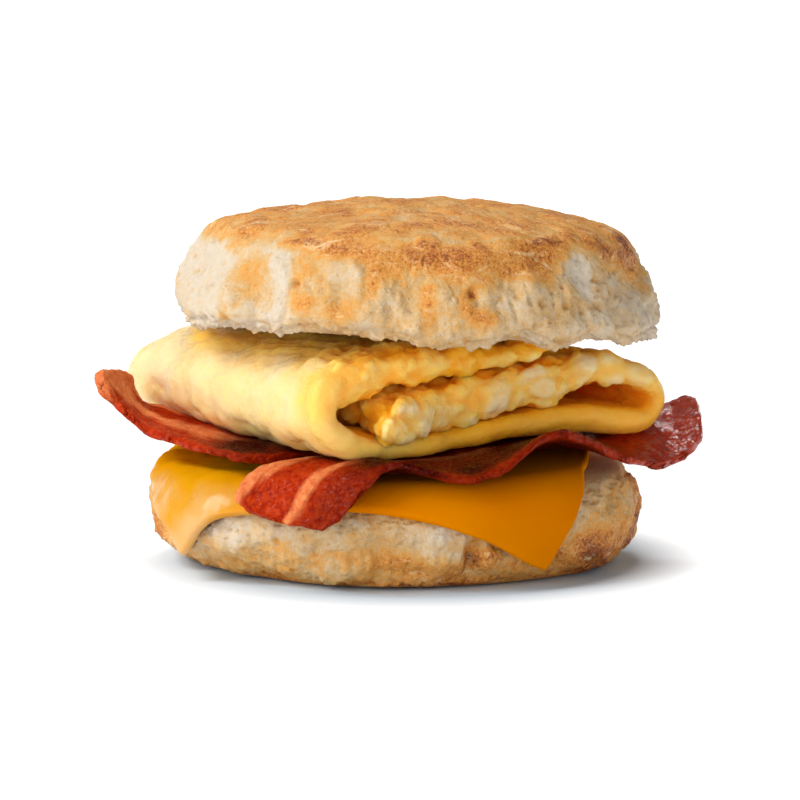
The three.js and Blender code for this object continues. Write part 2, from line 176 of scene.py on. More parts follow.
LEFT_STRIP = {
    "front": [
        (-54.4, -8, 35.7), (-52.4, -8.6, 31.8), (-48.6, -9.8, 28), (-44.6, -12.6, 25.2), (-39, -19, 24),
        (-32, -27, 23), (-26, -30.5, 22.2), (-19.5, -27.5, 21.8), (-9.5, -17.5, 22), (3, -7.5, 22.4),
    ],
    "back": [
        (-49.2, 3, 34.4), (-48.7, 3.6, 31.3), (-46.8, 4.4, 28.2), (-42.6, 4.6, 27.3), (-35.5, 2.1, 25.3),
        (-26.5, -4, 23.3), (-19, -8, 22.7), (-12, -9.5, 22.4), (-3, -4, 22.6), (9, 7, 23.2),
    ],
    "crown": [0, 0, 0, -0.4, -0.4, -0.2, 0, 0, 0, 0],
    "fat": [(0.5, 0.26), (0.95, 0.1)],
    "fat_tip": 0.9,
    "lean_end": (1, 1.1),
    # Painted shade under the egg: where along the strip it starts, is full, begins to fade and ends
    "dark": (0.48, 0.6, 1.2, 1.3),
    "wet": (1.1, 1.2),
    "shade": 0,
}

# Section of the folded egg, from the free end of the inner flap to that of the top flap:
# distance along the front-right face, height, thickness
EGG_SECTION = [
    (8, 30.6, 5.6), (12, 30.7, 7.2), (18, 31, 7.7), (25, 31.4, 8), (37, 33.2, 7.5), (47, 34.3, 7.5),
    (56, 35.8, 5.6), (63, 35.7, 4.4), (69, 33.2, 4), (71.4, 30, 3.9), (68.6, 26.9, 4),
    (61, 26.7, 4.3), (49, 27.6, 4.3), (37, 26.6, 4), (26, 25.1, 3.7), (13, 24.8, 3.6),
    (4, 25.4, 4), (-0.6, 28.2, 4.4), (-1.6, 31.4, 4.8), (-0.4, 34.4, 6.3), (4.2, 36.4, 8),
    (9, 37.6, 7.3), (13, 38.4, 6.6), (25, 39, 5.8), (37, 39.9, 4.6), (47, 41, 2.8),
]

# Grid sizes
TOP_GRID = (560, 168)
BOTTOM_GRID = (560, 150)
CHEESE_GRID = (170, 170)
BACON_GRID = (300, 90)
EGG_GRID = (340, 150)
# Rims of the sheets: radius in millimetres, and number of steps round it
CHEESE_RIM = (0.9, 6)
BACON_RIM = (1.1, 6)
EGG_RIM = (2.4, 15)
# Samples for a spline's length, and for the section that the cheese is draped over
SPLINE_SAMPLES = 3000
DRAPE_SAMPLES = 401
# How much closer together the columns of the halves are in front
FRONT_CROWDING = 0.3
# Power of the distance at which a mark fades: higher ends it more sharply
MARK_EDGE = 2.6

# Camera, in metres and degrees
CAMERA_PLACE = (0.0013, -0.580, 0.088)
CAMERA_PITCH = 5.752
CAMERA_LENS = 141.7

# Soft lights: place and size in metres, and colour. Their powers are settings
LIGHTS = {
    "key": ((-0.50, -0.24, 0.57), 0.32, (1.0, 0.995, 0.98)),
    "side": ((-0.50, -0.48, 0.30), 0.35, (1.0, 0.99, 0.98)),
    "fill": ((0.50, -0.60, 0.28), 0.6, (1.0, 0.93, 0.87)),
    "top": ((-0.02, 0.33, 0.72), 0.16, (1.0, 0.99, 0.97)),
    "front": ((-0.12, -0.70, 0.14), 0.4, (1.0, 0.97, 0.92)),
}
LIGHT_AIM = (0, 0, 0.03)

# Floor, in metres: flat rings from the middle, then a bend up to a short upright rim
SWEEP_MIDDLE = 0.02
SWEEP_RADIUS = 2.4
SWEEP_BEND = 0.5
SWEEP_RIM = 0.05
SWEEP_RINGS = 24
BEND_RINGS = 16
SWEEP_SIDES = 96
# The floor shines by itself, except in an oval under the sandwich: its stretch, its middle, the distances
# between which the glow begins, and those between which it grows further off
OVAL_STRETCH = (1.06, 0.92, 1.0)
OVAL_MIDDLE = (0.004, 0.003, 0)
OVAL_BORDER = (0.044, 0.0565)
NEAR_GLOW = 0.92
FAR_REACH = (0.12, 0.8)
FAR_GLOW = 0.2

# The shader's inputs by the short names that the finishes use
SHADER_INPUTS = {
    "color": "Base Color",
    "rough": "Roughness",
    "normal": "Normal",
    "inside": "Subsurface Weight",
    "radius": "Subsurface Radius",
    "depth": "Subsurface Scale",
    "gloss": "Specular IOR Level",
    "coat": "Coat Weight",
    "coat_rough": "Coat Roughness",
    "coat_normal": "Coat Normal",
}


def rise(low, high, value):
    """0 below low, 1 above high, and 3s^2 - 2s^3 of the share s between."""
    share = np.clip((value - low) / (high - low), 0, 1)
    return share * share * (3 - 2 * share)


def mix(a, b, share):
    """a at share 0, b at share 1, a straight line between."""
    return a + (b - a) * share


def bell(distance):
    """A bell curve: 1 at distance 0, and e to the minus distance squared."""
    return np.exp(-(distance * distance))


def scatter(i, j, k):
    """A number from -1 to 1 for each whole point: the fraction of a large multiple of a sine."""
    value = np.sin(i * 12.7 + j * 31.1 + k * 7.47) * 4375.85
    return 2 * (value - np.floor(value)) - 1


def noise(x, y, z):
    """Value noise: the scattered numbers at the eight corners of each unit cube, blended smoothly."""
    x, y, z = np.broadcast_arrays(*(np.asarray(v, float) for v in (x, y, z)))
    i, j, k = np.floor(x), np.floor(y), np.floor(z)
    a, b, c = (v * v * (3 - 2 * v) for v in (x - i, y - j, z - k))
    corners = [(dj, dk) for dk in (0, 1) for dj in (0, 1)]
    edges = [mix(scatter(i, j + dj, k + dk), scatter(i + 1, j + dj, k + dk), a) for dj, dk in corners]
    return mix(mix(edges[0], edges[1], b), mix(edges[2], edges[3], b), c)


def bumps(p, size):
    """Two octaves of noise at points p, the second twice as fine and half as strong."""
    x, y, z = (p[..., n] / size for n in range(3))
    return (noise(x, y, z) + noise(x * 2 + 9, y * 2, z * 2) / 2) / 1.5


# Each octave is turned by this matrix, so that the noise shows no grid
TURN = np.array([[0.36, 0.48, -0.8], [-0.8, 0.6, 0.0], [0.48, 0.64, 0.6]])


def fractal(p, size, octaves=4, keep=0.5):
    """Noise of several octaves at points p: each is turned, twice as fine, and keep times as strong."""
    q = p / size
    total, weight, whole = 0, 1, 0
    for octave in range(octaves):
        q = q @ TURN.T
        total = total + weight * noise(q[..., 0] + 7 * octave, q[..., 1], q[..., 2])
        whole += weight
        weight *= keep
        q = q * 2
    return total / whole


def ridges(p, size, octaves=3):
    """Sharp ridges at points p: 1 minus 2.2 times fractal noise's absolute value, not below 0, squared."""
    return (1 - np.minimum(1, 2.2 * np.abs(fractal(p, size, octaves)))) ** 2


def cells(p, size):
    """Distance to the nearest of points scattered one in each cube of that size, and that point's own
    number."""
    q = p / size
    corner = np.floor(q)
    nearest = np.full(q.shape[:-1], 9.0)
    number = np.zeros(q.shape[:-1])
    steps = [(a, b, c) for a in (-1, 0, 1) for b in (-1, 0, 1) for c in (-1, 0, 1)]
    for step in steps:
        i, j, k = (corner[..., n] + step[n] for n in range(3))
        spot = np.stack([scatter(i, j, k), scatter(i + 31, j, k), scatter(i, j + 57, k)], -1)
        away = np.stack([i, j, k], -1) + 0.5 + 0.42 * spot - q
        far = np.sqrt((away**2).sum(-1))
        closer = far < nearest
        nearest = np.where(closer, far, nearest)
        number = np.where(closer, scatter(i, j, k + 83), number)
    return nearest, number


def lumps(p, size):
    """Round lumps at points p: half spheres of about that size round scattered points, bent out of true
    by noise."""
    bend = [noise(*(np.moveaxis(p, -1, 0) / size * 0.9 + shift)) for shift in (3, 17, 41)]
    nearest, _ = cells(p + 0.3 * size * np.stack(bend, -1), size)
    return np.sqrt(np.maximum(0, 1 - (1.15 * nearest) ** 2))


def pores(p, size, share):
    """Round pits in that share of the cells: 1 close to the cell's point, 0 from 0.4 of the size
    outwards."""
    nearest, number = cells(p, size)
    return (1 - rise(0.05, 0.4, nearest)) * (number < 2 * share - 1)


def spline(points, share):
    """Catmull-Rom spline through points at shares of their count, its ends extended in a straight line."""
    p = np.asarray(points, float)
    p = np.vstack([2 * p[0] - p[1], p, 2 * p[-1] - p[-2]])
    place = np.clip(share, 0, 1) * (len(p) - 3)
    k = np.minimum(place.astype(int), len(p) - 4)
    t = (place - k)[..., None]
    a, b, c, d = (p[k + n] for n in range(4))
    out, into = (c - a) / 2, (d - b) / 2
    return b + t * (out + t * (3 * (c - b) - 2 * out - into + t * (2 * (b - c) + out + into)))


def even_spline(points, share):
    """The same spline at shares of its length."""
    fine = spline(points, np.linspace(0, 1, SPLINE_SAMPLES))
    run = np.concatenate([[0], np.cumsum(np.linalg.norm(np.diff(fine, axis=0), axis=1))])
    return np.stack([np.interp(share * run[-1], run, fine[:, n]) for n in range(fine.shape[1])], -1)


def spline_length(points):
    """Length of the spline through points."""
    fine = spline(points, np.linspace(0, 1, SPLINE_SAMPLES))
    return np.linalg.norm(np.diff(fine, axis=0), axis=1).sum()


def unit(vectors):
    """Vectors at length 1."""
    return vectors / np.maximum(np.linalg.norm(vectors, axis=-1, keepdims=True), 1e-12)


def round_normals(points):
    """Outward normals of a round grid: across its columns crossed with up its rows, straight down or up
    at the poles."""
    across = np.roll(points, -1, 1) - np.roll(points, 1, 1)
    normals = unit(np.cross(across, np.gradient(points, axis=0)))
    normals[0] = (0, 0, -1)
    normals[-1] = (0, 0, 1)
    return normals


def round_mesh(name, points, fields):
    """A closed mesh from a grid of rows and columns: columns join round, and the first and last row
    become one pole each."""
    rows, around = points.shape[:2]
    ids = 1 + np.arange((rows - 2) * around).reshape(rows - 2, around)
    beside = np.roll(ids, -1, axis=1)
    last = ids[-1, -1] + 1
    quads = np.stack([ids[:-1], beside[:-1], beside[1:], ids[1:]], -1).reshape(-1, 4)
    low = np.stack([np.zeros_like(ids[0]), beside[0], ids[0]], -1)
    high = np.stack([np.full_like(ids[0], last), ids[-1], beside[-1]], -1)

    def flat(grid):
        """The grid's values in one row, with a single one for each pole."""
        return np.concatenate([grid[0, :1], grid[1:-1].reshape(-1, *grid.shape[2:]), grid[-1, :1]])

    made_fields = {key: flat(grid) for key, grid in fields.items()}
    return make_mesh(name, flat(points), [quads, low, high], made_fields)


def make_mesh(name, points, faces, fields, uv=None):
    """A smooth mesh object with one number for each vertex in each named field. Points are in
    millimetres."""
    if not np.isfinite(points).all():
        raise ValueError(f"{name} has a point that is not a number")
    mesh = bpy.data.meshes.new(name)
    mesh.from_pydata((points * MM).tolist(), [], [face for group in faces for face in group.tolist()])
    for key, values in fields.items():
        attribute = mesh.attributes.new(key, "FLOAT", "POINT")
        attribute.data.foreach_set("value", values.astype(np.float32).ravel())
    if uv is not None:
        corners = np.empty(len(mesh.loops), dtype=np.int32)
        mesh.loops.foreach_get("vertex_index", corners)
        layer = mesh.uv_layers.new(name="strip")
        layer.data.foreach_set("uv", uv[corners].astype(np.float32).ravel())
    mesh.shade_smooth()
    made = bpy.data.objects.new(name, mesh)
    bpy.context.scene.collection.objects.link(made)
    return made


def rim_shares(count, length, edge, steps):
    """Shares of a length: evenly spaced inside, and towards both ends spaced as a quarter circle of
    radius edge."""
    turn = np.linspace(0, math.pi / 2, steps)
    near = edge / length * (1 - np.cos(turn))
    inside = np.linspace(near[-1], 1 - near[-1], count - 2 * steps + 2)
    return np.concatenate([near[:-1], inside, (1 - near[:-1])[::-1]])


def rim_fullness(count, steps):
    """Half thickness at each of those shares, as a part of the full one: the sine of the quarter circle."""
    near = np.sin(np.linspace(0, math.pi / 2, steps))
    return np.concatenate([near[:-1], np.ones(count - 2 * steps + 2), near[:-1][::-1]])


def vertex_normals(points, quads):
    """Each vertex's normal: the sum of the cross products of the diagonals of the faces round it, at
    length 1."""
    corner = [points[quads[:, n]] for n in range(4)]
    face = np.cross(corner[2] - corner[0], corner[3] - corner[1])
    total = np.zeros_like(points)
    for n in range(4):
        np.add.at(total, quads[:, n], face)
    return unit(total)


def sheet_piece(name, grid, size, rim, middle, thickness, relief, fields):
    """A closed sheet: its middle surface moved half the thickness along its normal to both sides, then
    the relief along the closed surface's own normals. The rim is rounded like a quarter circle and is
    shared by both faces."""
    columns, rows = grid
    length, width = size
    edge, steps = rim
    shares = rim_shares(columns, length, edge, steps), rim_shares(rows, width, edge, steps)
    u, v = np.meshgrid(*shares, indexing="ij")
    full = np.outer(rim_fullness(columns, steps), rim_fullness(rows, steps))
    step = 1e-3
    p = middle(u, v)
    along = middle(np.minimum(1, u + step), v) - middle(np.maximum(0, u - step), v)
    across = middle(u, np.minimum(1, v + step)) - middle(u, np.maximum(0, v - step))
    normal = unit(np.cross(along, across))
    half = (thickness(u, v) / 2 * full)[..., None]
    ids = np.arange(columns * rows).reshape(columns, rows)
    inner = np.zeros((columns, rows), bool)
    inner[1:-1, 1:-1] = True
    under = ids.copy()
    under[inner] = columns * rows + np.arange(inner.sum())

    def joined(upper, lower):
        """One row of the upper face's values and the lower face's inner ones, as both share the rim."""
        return np.concatenate([upper.reshape(-1, *upper.shape[2:]), lower[inner]])

    points = joined(p + normal * half, p - normal * half)
    place = joined(u, u), joined(v, v), joined(0 * u + 1, 0 * u - 1)
    sides = []
    for grid_ids, order in ((ids, (0, 1, 2, 3)), (under, (0, 3, 2, 1))):
        corner = [grid_ids[:-1, :-1], grid_ids[1:, :-1], grid_ids[1:, 1:], grid_ids[:-1, 1:]]
        sides.append(np.stack([corner[n] for n in order], -1).reshape(-1, 4))
    quads = np.concatenate(sides)
    points = points + vertex_normals(points, quads) * relief(points, *place)[:, None]
    made_fields = {key: field(points, *place) for key, field in fields.items()}
    uv = np.stack([place[0] * length, place[1] * width], -1) * MM
    return make_mesh(name, points, [quads], made_fields, uv)


def paint(code):
    """A linear colour with alpha from a six-digit sRGB code."""
    levels = [int(code[n : n + 2], 16) / 255 for n in (0, 2, 4)]
    return tuple(v / 12.92 if v <= 0.04045 else ((v + 0.055) / 1.055) ** 2.4 for v in levels) + (1.0,)


class Finish:
    """A material's nodes, with one short call for each kind of node that the finishes share."""

    def __init__(self, name):
        """A new material with its shader and the object's coordinates."""
        self.material = bpy.data.materials.new(name)
        self.material.use_nodes = True
        self.tree = self.material.node_tree
        self.shader = self.tree.nodes["Principled BSDF"]
        self.place = self.node("ShaderNodeTexCoord").outputs["Object"]

    def node(self, kind, inputs=None, **settings):
        """A node with its settings and with each input set or linked."""
        made = self.tree.nodes.new(kind)
        for key, value in settings.items():
            setattr(made, key, value)
        for key, value in (inputs or {}).items():
            self.set(made, key, value)
        return made

    def set(self, node, key, value):
        """One input of a node: a link from a socket, or a value."""
        if isinstance(value, bpy.types.NodeSocket):
            self.tree.links.new(value, node.inputs[key])
        else:
            node.inputs[key].default_value = value

    def field(self, name):
        """The number that the mesh holds at each vertex under this name."""
        return self.node("ShaderNodeAttribute", attribute_name=name).outputs["Fac"]

    def strip_place(self):
        """The piece's own flat coordinates, in metres along and across."""
        return self.node("ShaderNodeUVMap", uv_map="strip").outputs["UV"]

    def stretched(self, place, scale):
        """Coordinates multiplied along each axis."""
        return self.node("ShaderNodeMapping", {"Vector": place, "Scale": scale}).outputs["Vector"]

    def grain(self, size, detail=3.0, rough=0.55, place=None, warp=0.0):
        """Noise with features of that size in millimetres."""
        inputs = {"Vector": place or self.place, "Scale": 1 / (size * MM), "Detail": detail}
        inputs.update({"Roughness": rough, "Distortion": warp})
        return self.node("ShaderNodeTexNoise", inputs).outputs["Fac"]

    def spots(self, size, place=None, smooth=None):
        """Distance to scattered points about that many millimetres apart, blended where smooth is given."""
        kind = "SMOOTH_F1" if smooth else "F1"
        inputs = {"Vector": place or self.place, "Scale": 1 / (size * MM)}
        if smooth:
            inputs["Smoothness"] = smooth
        return self.node("ShaderNodeTexVoronoi", inputs, feature=kind).outputs["Distance"]

    def warped(self, size, reach):
        """The object's coordinates, moved by up to that many millimetres by noise of that size."""
        waves = self.node("ShaderNodeTexNoise", {"Vector": self.place, "Scale": 1 / (size * MM)})
        inputs = {0: waves.outputs["Color"], 1: (reach * MM,) * 3, 2: self.place}
        return self.node("ShaderNodeVectorMath", inputs, operation="MULTIPLY_ADD").outputs["Vector"]

    def times(self, a, b):
        """The product of two numbers."""
        return self.node("ShaderNodeMath", {0: a, 1: b}, operation="MULTIPLY").outputs[0]

    def plus(self, a, b, clamp=False):
        """The sum of two numbers, kept between 0 and 1 where clamp is true."""
        return self.node("ShaderNodeMath", {0: a, 1: b}, operation="ADD", use_clamp=clamp).outputs[0]

    def span(self, value, low, high, to_low=0.0, to_high=1.0):
        """value from low to high becomes to_low to to_high, and stays there beyond."""
        inputs = {"Value": value, "From Min": low, "From Max": high, "To Min": to_low, "To Max": to_high}
        return self.node("ShaderNodeMapRange", inputs, clamp=True).outputs["Result"]

    def ramp(self, share, stops):
        """A colour for each share, blended between the stops."""
        made = self.node("ShaderNodeValToRGB", {"Fac": share})
        line = made.color_ramp
        while len(line.elements) < len(stops):
            line.elements.new(0.5)
        for element, (at, color) in zip(line.elements, stops):
            element.position = at
            element.color = color
        return made.outputs["Color"]

    def blend(self, share, a, b):
        """Colour a, with b laid over it by share: the node's colour sockets are inputs 6 and 7 and output
        2."""
        return self.node("ShaderNodeMix", {0: share, 6: a, 7: b}, data_type="RGBA").outputs[2]

    def bump(self, height, depth, under=None):
        """Relief of that depth in millimetres, over an earlier one."""
        inputs = {"Height": height, "Distance": depth * MM, "Strength": 1.0}
        if under is not None:
            inputs["Normal"] = under
        return self.node("ShaderNodeBump", inputs).outputs["Normal"]

    def finish(self, **inputs):
        """Sets the shader's own inputs and returns the material."""
        for key, value in inputs.items():
            self.set(self.shader, SHADER_INPUTS[key], value)
        return self.material


def wear(piece, material, node):
    """The piece gets its material, rides on the body, and stands for the node."""
    piece.data.materials.append(material)
    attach(piece, "root")
    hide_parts(node)


def baked_stops(settings):
    """Colours of baked dough, from bare crumb to scorched crust, each at its share of how browned a point is,
    painted shade included.
    """
    return [
        (0.0, settings.crumb_color), (0.14, paint("cab08a")), (0.3, paint("c8a068")),
        (0.45, paint("ce984e")), (0.6, settings.crust_color), (0.75, paint("bc742a")),
        (0.9, paint("9e541a")), (1.0, settings.scorch_color),
    ]


def baked_material(name, settings, grain_depth):
    """Crumb and crust by how browned each point is, painted shade included: speckled, rougher and paler
    where bare, and darker in the pits as painted shade.
    """
    f = Finish(name)
    browning = f.field("browning")
    cloud = f.span(f.grain(4, 5, 0.7, f.stretched(f.place, (0.6, 1.0, 1.0))), 0.34, 0.66, -0.17, 0.17)
    speck = f.span(f.grain(0.6, 5, 0.85), 0.38, 0.62, -0.27, 0.27)
    depth = f.times(speck, f.span(browning, 0.1, 0.7, 0.25, 1.0))
    cloudy = f.times(cloud, f.span(browning, 0.0, 0.4, 0.3, 1.0))
    shade = f.plus(f.plus(browning, cloudy), depth, True)
    color = f.ramp(shade, baked_stops(settings))
    # Darker in the pits: painted shade in the recesses
    pits = f.span(f.spots(1.1, f.warped(3.0, 2.5)), 0.05, 0.35)
    color = f.blend(f.span(pits, 0.0, 1.0, 0.12, 0.0), color, paint("a98a66"))
    dust = f.span(f.grain(3.2, 5, 0.8, f.stretched(f.place, (0.4, 1.0, 1.0)), 0.6), 0.54, 0.66, 0.0, 0.6)
    color = f.blend(f.times(dust, f.span(browning, 0.4, 0.6)), color, paint("ecd2a0"))
    rough = f.span(browning, 0.2, 0.8, 0.85, 0.5)
    normal = f.bump(f.grain(0.45, 5, 0.75), grain_depth)
    normal = f.bump(pits, 0.12, normal)
    return f.finish(
        color=color, rough=rough, normal=normal, inside=0.12, radius=(1.0, 0.55, 0.3), depth=0.0015,
        gloss=0.35,
    )


def section_grid(section, grid, knots):
    """Angles, closer together at the front, and the section's point at each row.
    The knots pair a share of the rows with a share of the section's length."""
    around, rows = grid
    turn = np.linspace(0, 2 * math.pi, around, endpoint=False)
    angle = turn - FRONT_CROWDING * np.sin(turn - 1.5 * math.pi)
    s = even_spline(section, np.interp(np.linspace(0, 1, rows), *zip(*knots)))
    return angle[None, :], s[:, None, 0], s[:, None, 1]


def turned(degrees, middle):
    """Degrees from a middle direction, between -180 and 180."""
    return (degrees - middle + 180) % 360 - 180


def toward(degrees, middle, width):
    """A bell curve of that width in degrees round a direction."""
    return bell(turned(degrees, middle) / width)


def marks(places, degrees, height, wobble):
    """How far the marks stand out and how much browner they are, summed. Each one's share is e to the
    minus distance to the power of the mark edge: the distance is 1 at its half width or half height, and
    uneven by the wobble."""
    out, brown = 0, 0
    for middle, level, wide, tall, reach, tint in places:
        away = np.hypot(turned(degrees, middle) / wide, (height - level) / tall)
        share = np.exp(-np.maximum(0, away + wobble) ** MARK_EDGE)
        out = out + reach * share
        brown = brown + tint * share
    return out, brown


def bottom_outline(angle):
    """The round outline's swelling at an angle: three and five waves, less a flattening towards the
    front."""
    waves = 0.008 * np.cos(3 * angle + 1) + 0.006 * np.cos(5 * angle + 2.2)
    return 1 + waves - FRONT_FLATTENING / BISCUIT_RADIUS * np.maximum(0, -np.sin(angle)) ** 1.5


def leaning(radius, angle, height):
    """How far the lower half's top is raised or lowered: it leans forward and to the left."""
    tilt = LEAN * np.sin(angle) - LEFT_LEAN * np.maximum(0, -np.cos(angle)) ** 1.5
    return tilt * radius * rise(8, 18, height)


def polar(radius, angle, z):
    """Points at a radius, an angle and a height."""
    return np.stack(np.broadcast_arrays(radius * np.cos(angle), radius * np.sin(angle), z), -1)


def push_out(p, angle, out):
    """Points moved outwards from the axis."""
    return p + polar(out, angle, 0)


# Pairs of a share of the rows and a share of the section's length
BOTTOM_KNOTS = ((0, 0), (0.1, 0.34), (0.88, 0.66), (1, 1))
TOP_KNOTS = ((0, 0), (0.07, 0.33), (0.68, 0.65), (1, 1))


def terraces(level):
    """The whole part of a level, with a short smooth slope up to the next: plates that end at sharp
    edges."""
    whole = np.floor(level)
    return whole + rise(0.36, 0.64, level - whole)


def torn_crumb(p):
    """Relief of torn crumb around zero: soft noise stretched upwards, plates, fine streaks and small
    round lumps."""
    soft = 0.7 * fractal(p * (1, 1, 0.6), 5, 3) + 0.55 * fractal(p * (1, 1, 0.35), 1.5, 3)
    plates = 0.34 * terraces(4.5 * fractal(p * (1, 1, 0.8) + 21, 7, 4))
    return soft + plates + 0.25 * lumps(p, 3) + 0.15 * lumps(p + 9, 1.4) - 0.35


def bottom_surface(settings):
    """Lower half: its section turned about the axis, leaning forward at the top, with a ledge and crags
    above the base and a tuck at its front left. Then torn crumb along the normal, a little less where it
    is browned, and pores, mostly where it is pale."""
    angle, radius, height = section_grid(BOTTOM_SECTION, BOTTOM_GRID, BOTTOM_KNOTS)
    degrees = np.degrees(angle) % 360
    wide = radius * bottom_outline(angle)
    p = polar(wide, angle, np.maximum(0, height + leaning(wide, angle, height)))
    craggy = rise(0.5, 4, height) * (1 - rise(7, 14, height))
    ledge = LEDGE * rise(0.5, 3, height) * (1 - rise(5, 8, height))
    rough = 1 - 0.9 * toward(degrees, 0, 26)
    middle, level, wide_by, tall_by, reach = LEFT_CRAG
    crag = reach * toward(degrees, middle, wide_by) * bell((height - level) / tall_by)
    middle, wide_by, reach = BASE_TUCK
    low = rise(15, 38, radius) * (1 - rise(0, 6.5, height))
    tuck = reach * toward(degrees, middle, wide_by) * low
    crags = settings.crag_depth / MM * (bumps(p, 9) - 0.2) * craggy
    p = push_out(p, angle, rough * (crags + ledge) + crag - tuck)
    normal = round_normals(p)
    side = rise(0.2, 1.5, height) * (1 - rise(16.5, 18.5, height))
    reach, tint = marks(BOTTOM_MARKS, degrees, height, 0.4 * fractal(p, 4, 3))
    cloud = fractal(p, 6, 4)
    # Browner towards the front and right: partly the crumb's own colour, partly painted shade where less
    # light falls
    warm = 0.17 * rise(250, 275, degrees) * (1 - 0.4 * rise(330, 350, degrees))
    browning = 0.12 + warm + 0.26 * (1 - rise(4.5, 8, height + 5 * fractal(p, 7, 3))) + tint + 0.2 * cloud
    browning = browning + 0.3 * (1 - rise(0.8, 2.4, height + 1.2 * fractal(p, 3, 3)))
    flat = 1 - rise(0.1, 1.4, height)
    browning = mix(browning, 0.74 + 0.2 * cloud, flat)
    pale = 1 - rise(0.25, 0.6, browning)
    holes = pores(p, 2.6, 0.4) + 0.6 * pores(p + 40, 1.3, 0.4)
    torn = settings.tear_depth / MM * 1.2 * torn_crumb(p) * mix(0.8, 1, pale)
    out = torn - settings.pore_depth / MM * holes * mix(0.3, 1, pale) + reach
    p = p + normal * (side * out)[..., None]
    p[..., 2] = np.maximum(p[..., 2], 0)
    # Browner in the pores: painted shade in the recesses
    return p, np.clip(browning + 0.12 * holes * side, 0, 1)


def lobes(degrees, column):
    """The lobes' drop (column 2) or reach (column 3) in a direction: the sum of a bell curve for each."""
    return sum(lobe[column] * toward(degrees, lobe[0], lobe[1]) for lobe in TOP_LOBES)


def top_lift(east, height):
    """How far the upper half is lifted: its torn edge slopes up to the left, and its crust is higher
    there too."""
    crust = TOP_LEFT_RISE * rise(10, 34, -east) - TOP_RIGHT_DROP * rise(24, 38, east)
    return mix(-TOP_SLOPE * east, crust, rise(46, 62, height))


def crust_edge(degrees):
    """Height down to which the crust is browned: much lower along the front, and a little lower at the
    right and behind."""
    front = 4.6 * rise(250, 261, degrees) * (1 - rise(303, 311, degrees))
    right = 1.6 * rise(316, 324, degrees) * (1 - rise(345, 356, degrees))
    return 59.6 - front - right - 1.5 * toward(degrees, 95, 40) - 2.4 * toward(degrees, 8, 26)


def top_surface(settings):
    """Upper half: its section turned about its axis, with the torn edge's lobes, a lumpy side and a bumpy
    crust, then along the normal with torn crumb, pores and cracked crust."""
    angle, radius, height = section_grid(TOP_SECTION, TOP_GRID, TOP_KNOTS)
    degrees = np.degrees(angle) % 360
    wide = radius * (1 + 0.006 * np.cos(3 * angle + 0.4) + 0.007 * np.cos(4 * angle + 2))
    p = polar(wide, angle, height)
    edge = rise(34, 41, radius) * (1 - rise(43, 50, height))
    side = rise(36, 42, radius) * (1 - rise(57, 61, height))
    middle, wide_by, reach = TOP_LEFT_BULGE
    belt = rise(45, 52, height) * (1 - rise(60.5, 63.5, height))
    bulge = reach * toward(degrees, middle, wide_by) * belt
    out = SIDE_BUMP * bumps(p, 8) * side + lobes(degrees, 3) * edge + bulge
    top = rise(58.8, 60.6, height + 0.7 * fractal(p, 5, 2))
    crust = CRUST_BUMP * bumps(p * (1, 1, 0), 11) * rise(59, 62, height)
    drop = edge * (lobes(degrees, 2) + TORN_EDGE * bumps(p, 6))
    lift = crust - drop + top_lift(p[..., 0], height)
    p = push_out(p, angle, out) + np.stack(np.broadcast_arrays(TOP_OFFSET, 0, lift), -1)
    normal = round_normals(p)

    reach, tint = marks(TOP_MARKS, degrees, height, 0.45 * fractal(p, 4, 3))
    border = crust_edge(degrees) + 2.6 * fractal(p * (1, 1, 0.4), 7, 4)
    browned = rise(-2.8, 2.2, height - border)
    plates = fractal(p, 8, 4)
    cracks = ridges(p * (1, 1, 0.5), 7, 4) * top
    # Browner on the front, less so towards the right: partly the crumb's own colour, partly painted shade on
    # the sides away from the light; the noise term is random unevenness
    warm = 0.17 * rise(234, 252, degrees) * (1 - 0.7 * rise(308, 330, degrees)) + 0.14 * fractal(p, 6, 3)
    browning = 0.03 + warm * (1 - browned) + 0.6 * browned + tint * (1 - 0.5 * browned)
    shoulder = bell((height - 60.2 - 0.6 * fractal(p, 4, 2)) / 0.8)
    browning = browning + 0.18 * shoulder * rise(-0.35, 0.15, plates)
    browning = browning + top * 0.24 * plates - 0.2 * cracks
    browning = np.clip(browning, 0.02, 1)

    bare = 1 - rise(0.22, 0.5, browning)
    porous = 0.35 + 0.65 * toward(degrees, 318, 35)
    holes = pores(p, 2.8, 0.4) + 0.8 * pores(p + 40, 1.5, 0.5)
    lower = bell((height - 44.4) / 1.8) * edge
    rough = 1.3 * fractal(p, 1.9, 3) + 1.1 * fractal(p + 7, 0.9, 2) - 1.3
    frayed = 1.7 * fractal(p * (1, 1, 1.4) + 3, 3, 4) * toward(degrees, 348, 16) * (1 - top)
    blisters = 0.7 * lumps(p * (1, 1, 0.5), 6.5) + 0.35 * lumps(p + 5, 2.6) - 0.55
    blisters = blisters + 0.5 * fractal(p * (0.6, 1, 1), 2.2, 4)
    torn = torn_crumb(p) * mix(0.45, 1, bare) * (1 - 0.5 * bell((height - 44) / 2))
    relief = (1 - top) * (settings.tear_depth / MM * torn - settings.pore_depth / MM * holes * bare * porous)
    relief = relief * rise(36, 41, radius) + lower * rough + frayed * rise(36, 41, radius) + reach
    relief = relief + top * settings.crust_depth / MM * blisters - settings.crack_depth / MM * cracks
    p = p + normal * relief[..., None]
    # Browner in the pores: painted shade in the recesses
    return p, np.clip(browning + 0.14 * holes * bare, 0, 1)


def drape_section():
    """The lower half's section from the middle of its top outwards, then straight down from its widest
    point."""
    section = even_spline(BOTTOM_SECTION, np.linspace(0, 1, DRAPE_SAMPLES))[::-1]
    step = spline_length(BOTTOM_SECTION) / (DRAPE_SAMPLES - 1)
    widest = int(np.argmax(section[:, 0]))
    beyond = np.arange(DRAPE_SAMPLES) - widest
    section[widest + 1 :, 0] = section[widest, 0]
    section[widest + 1 :, 1] = section[widest, 1] - beyond[widest + 1 :] * step
    return section, step


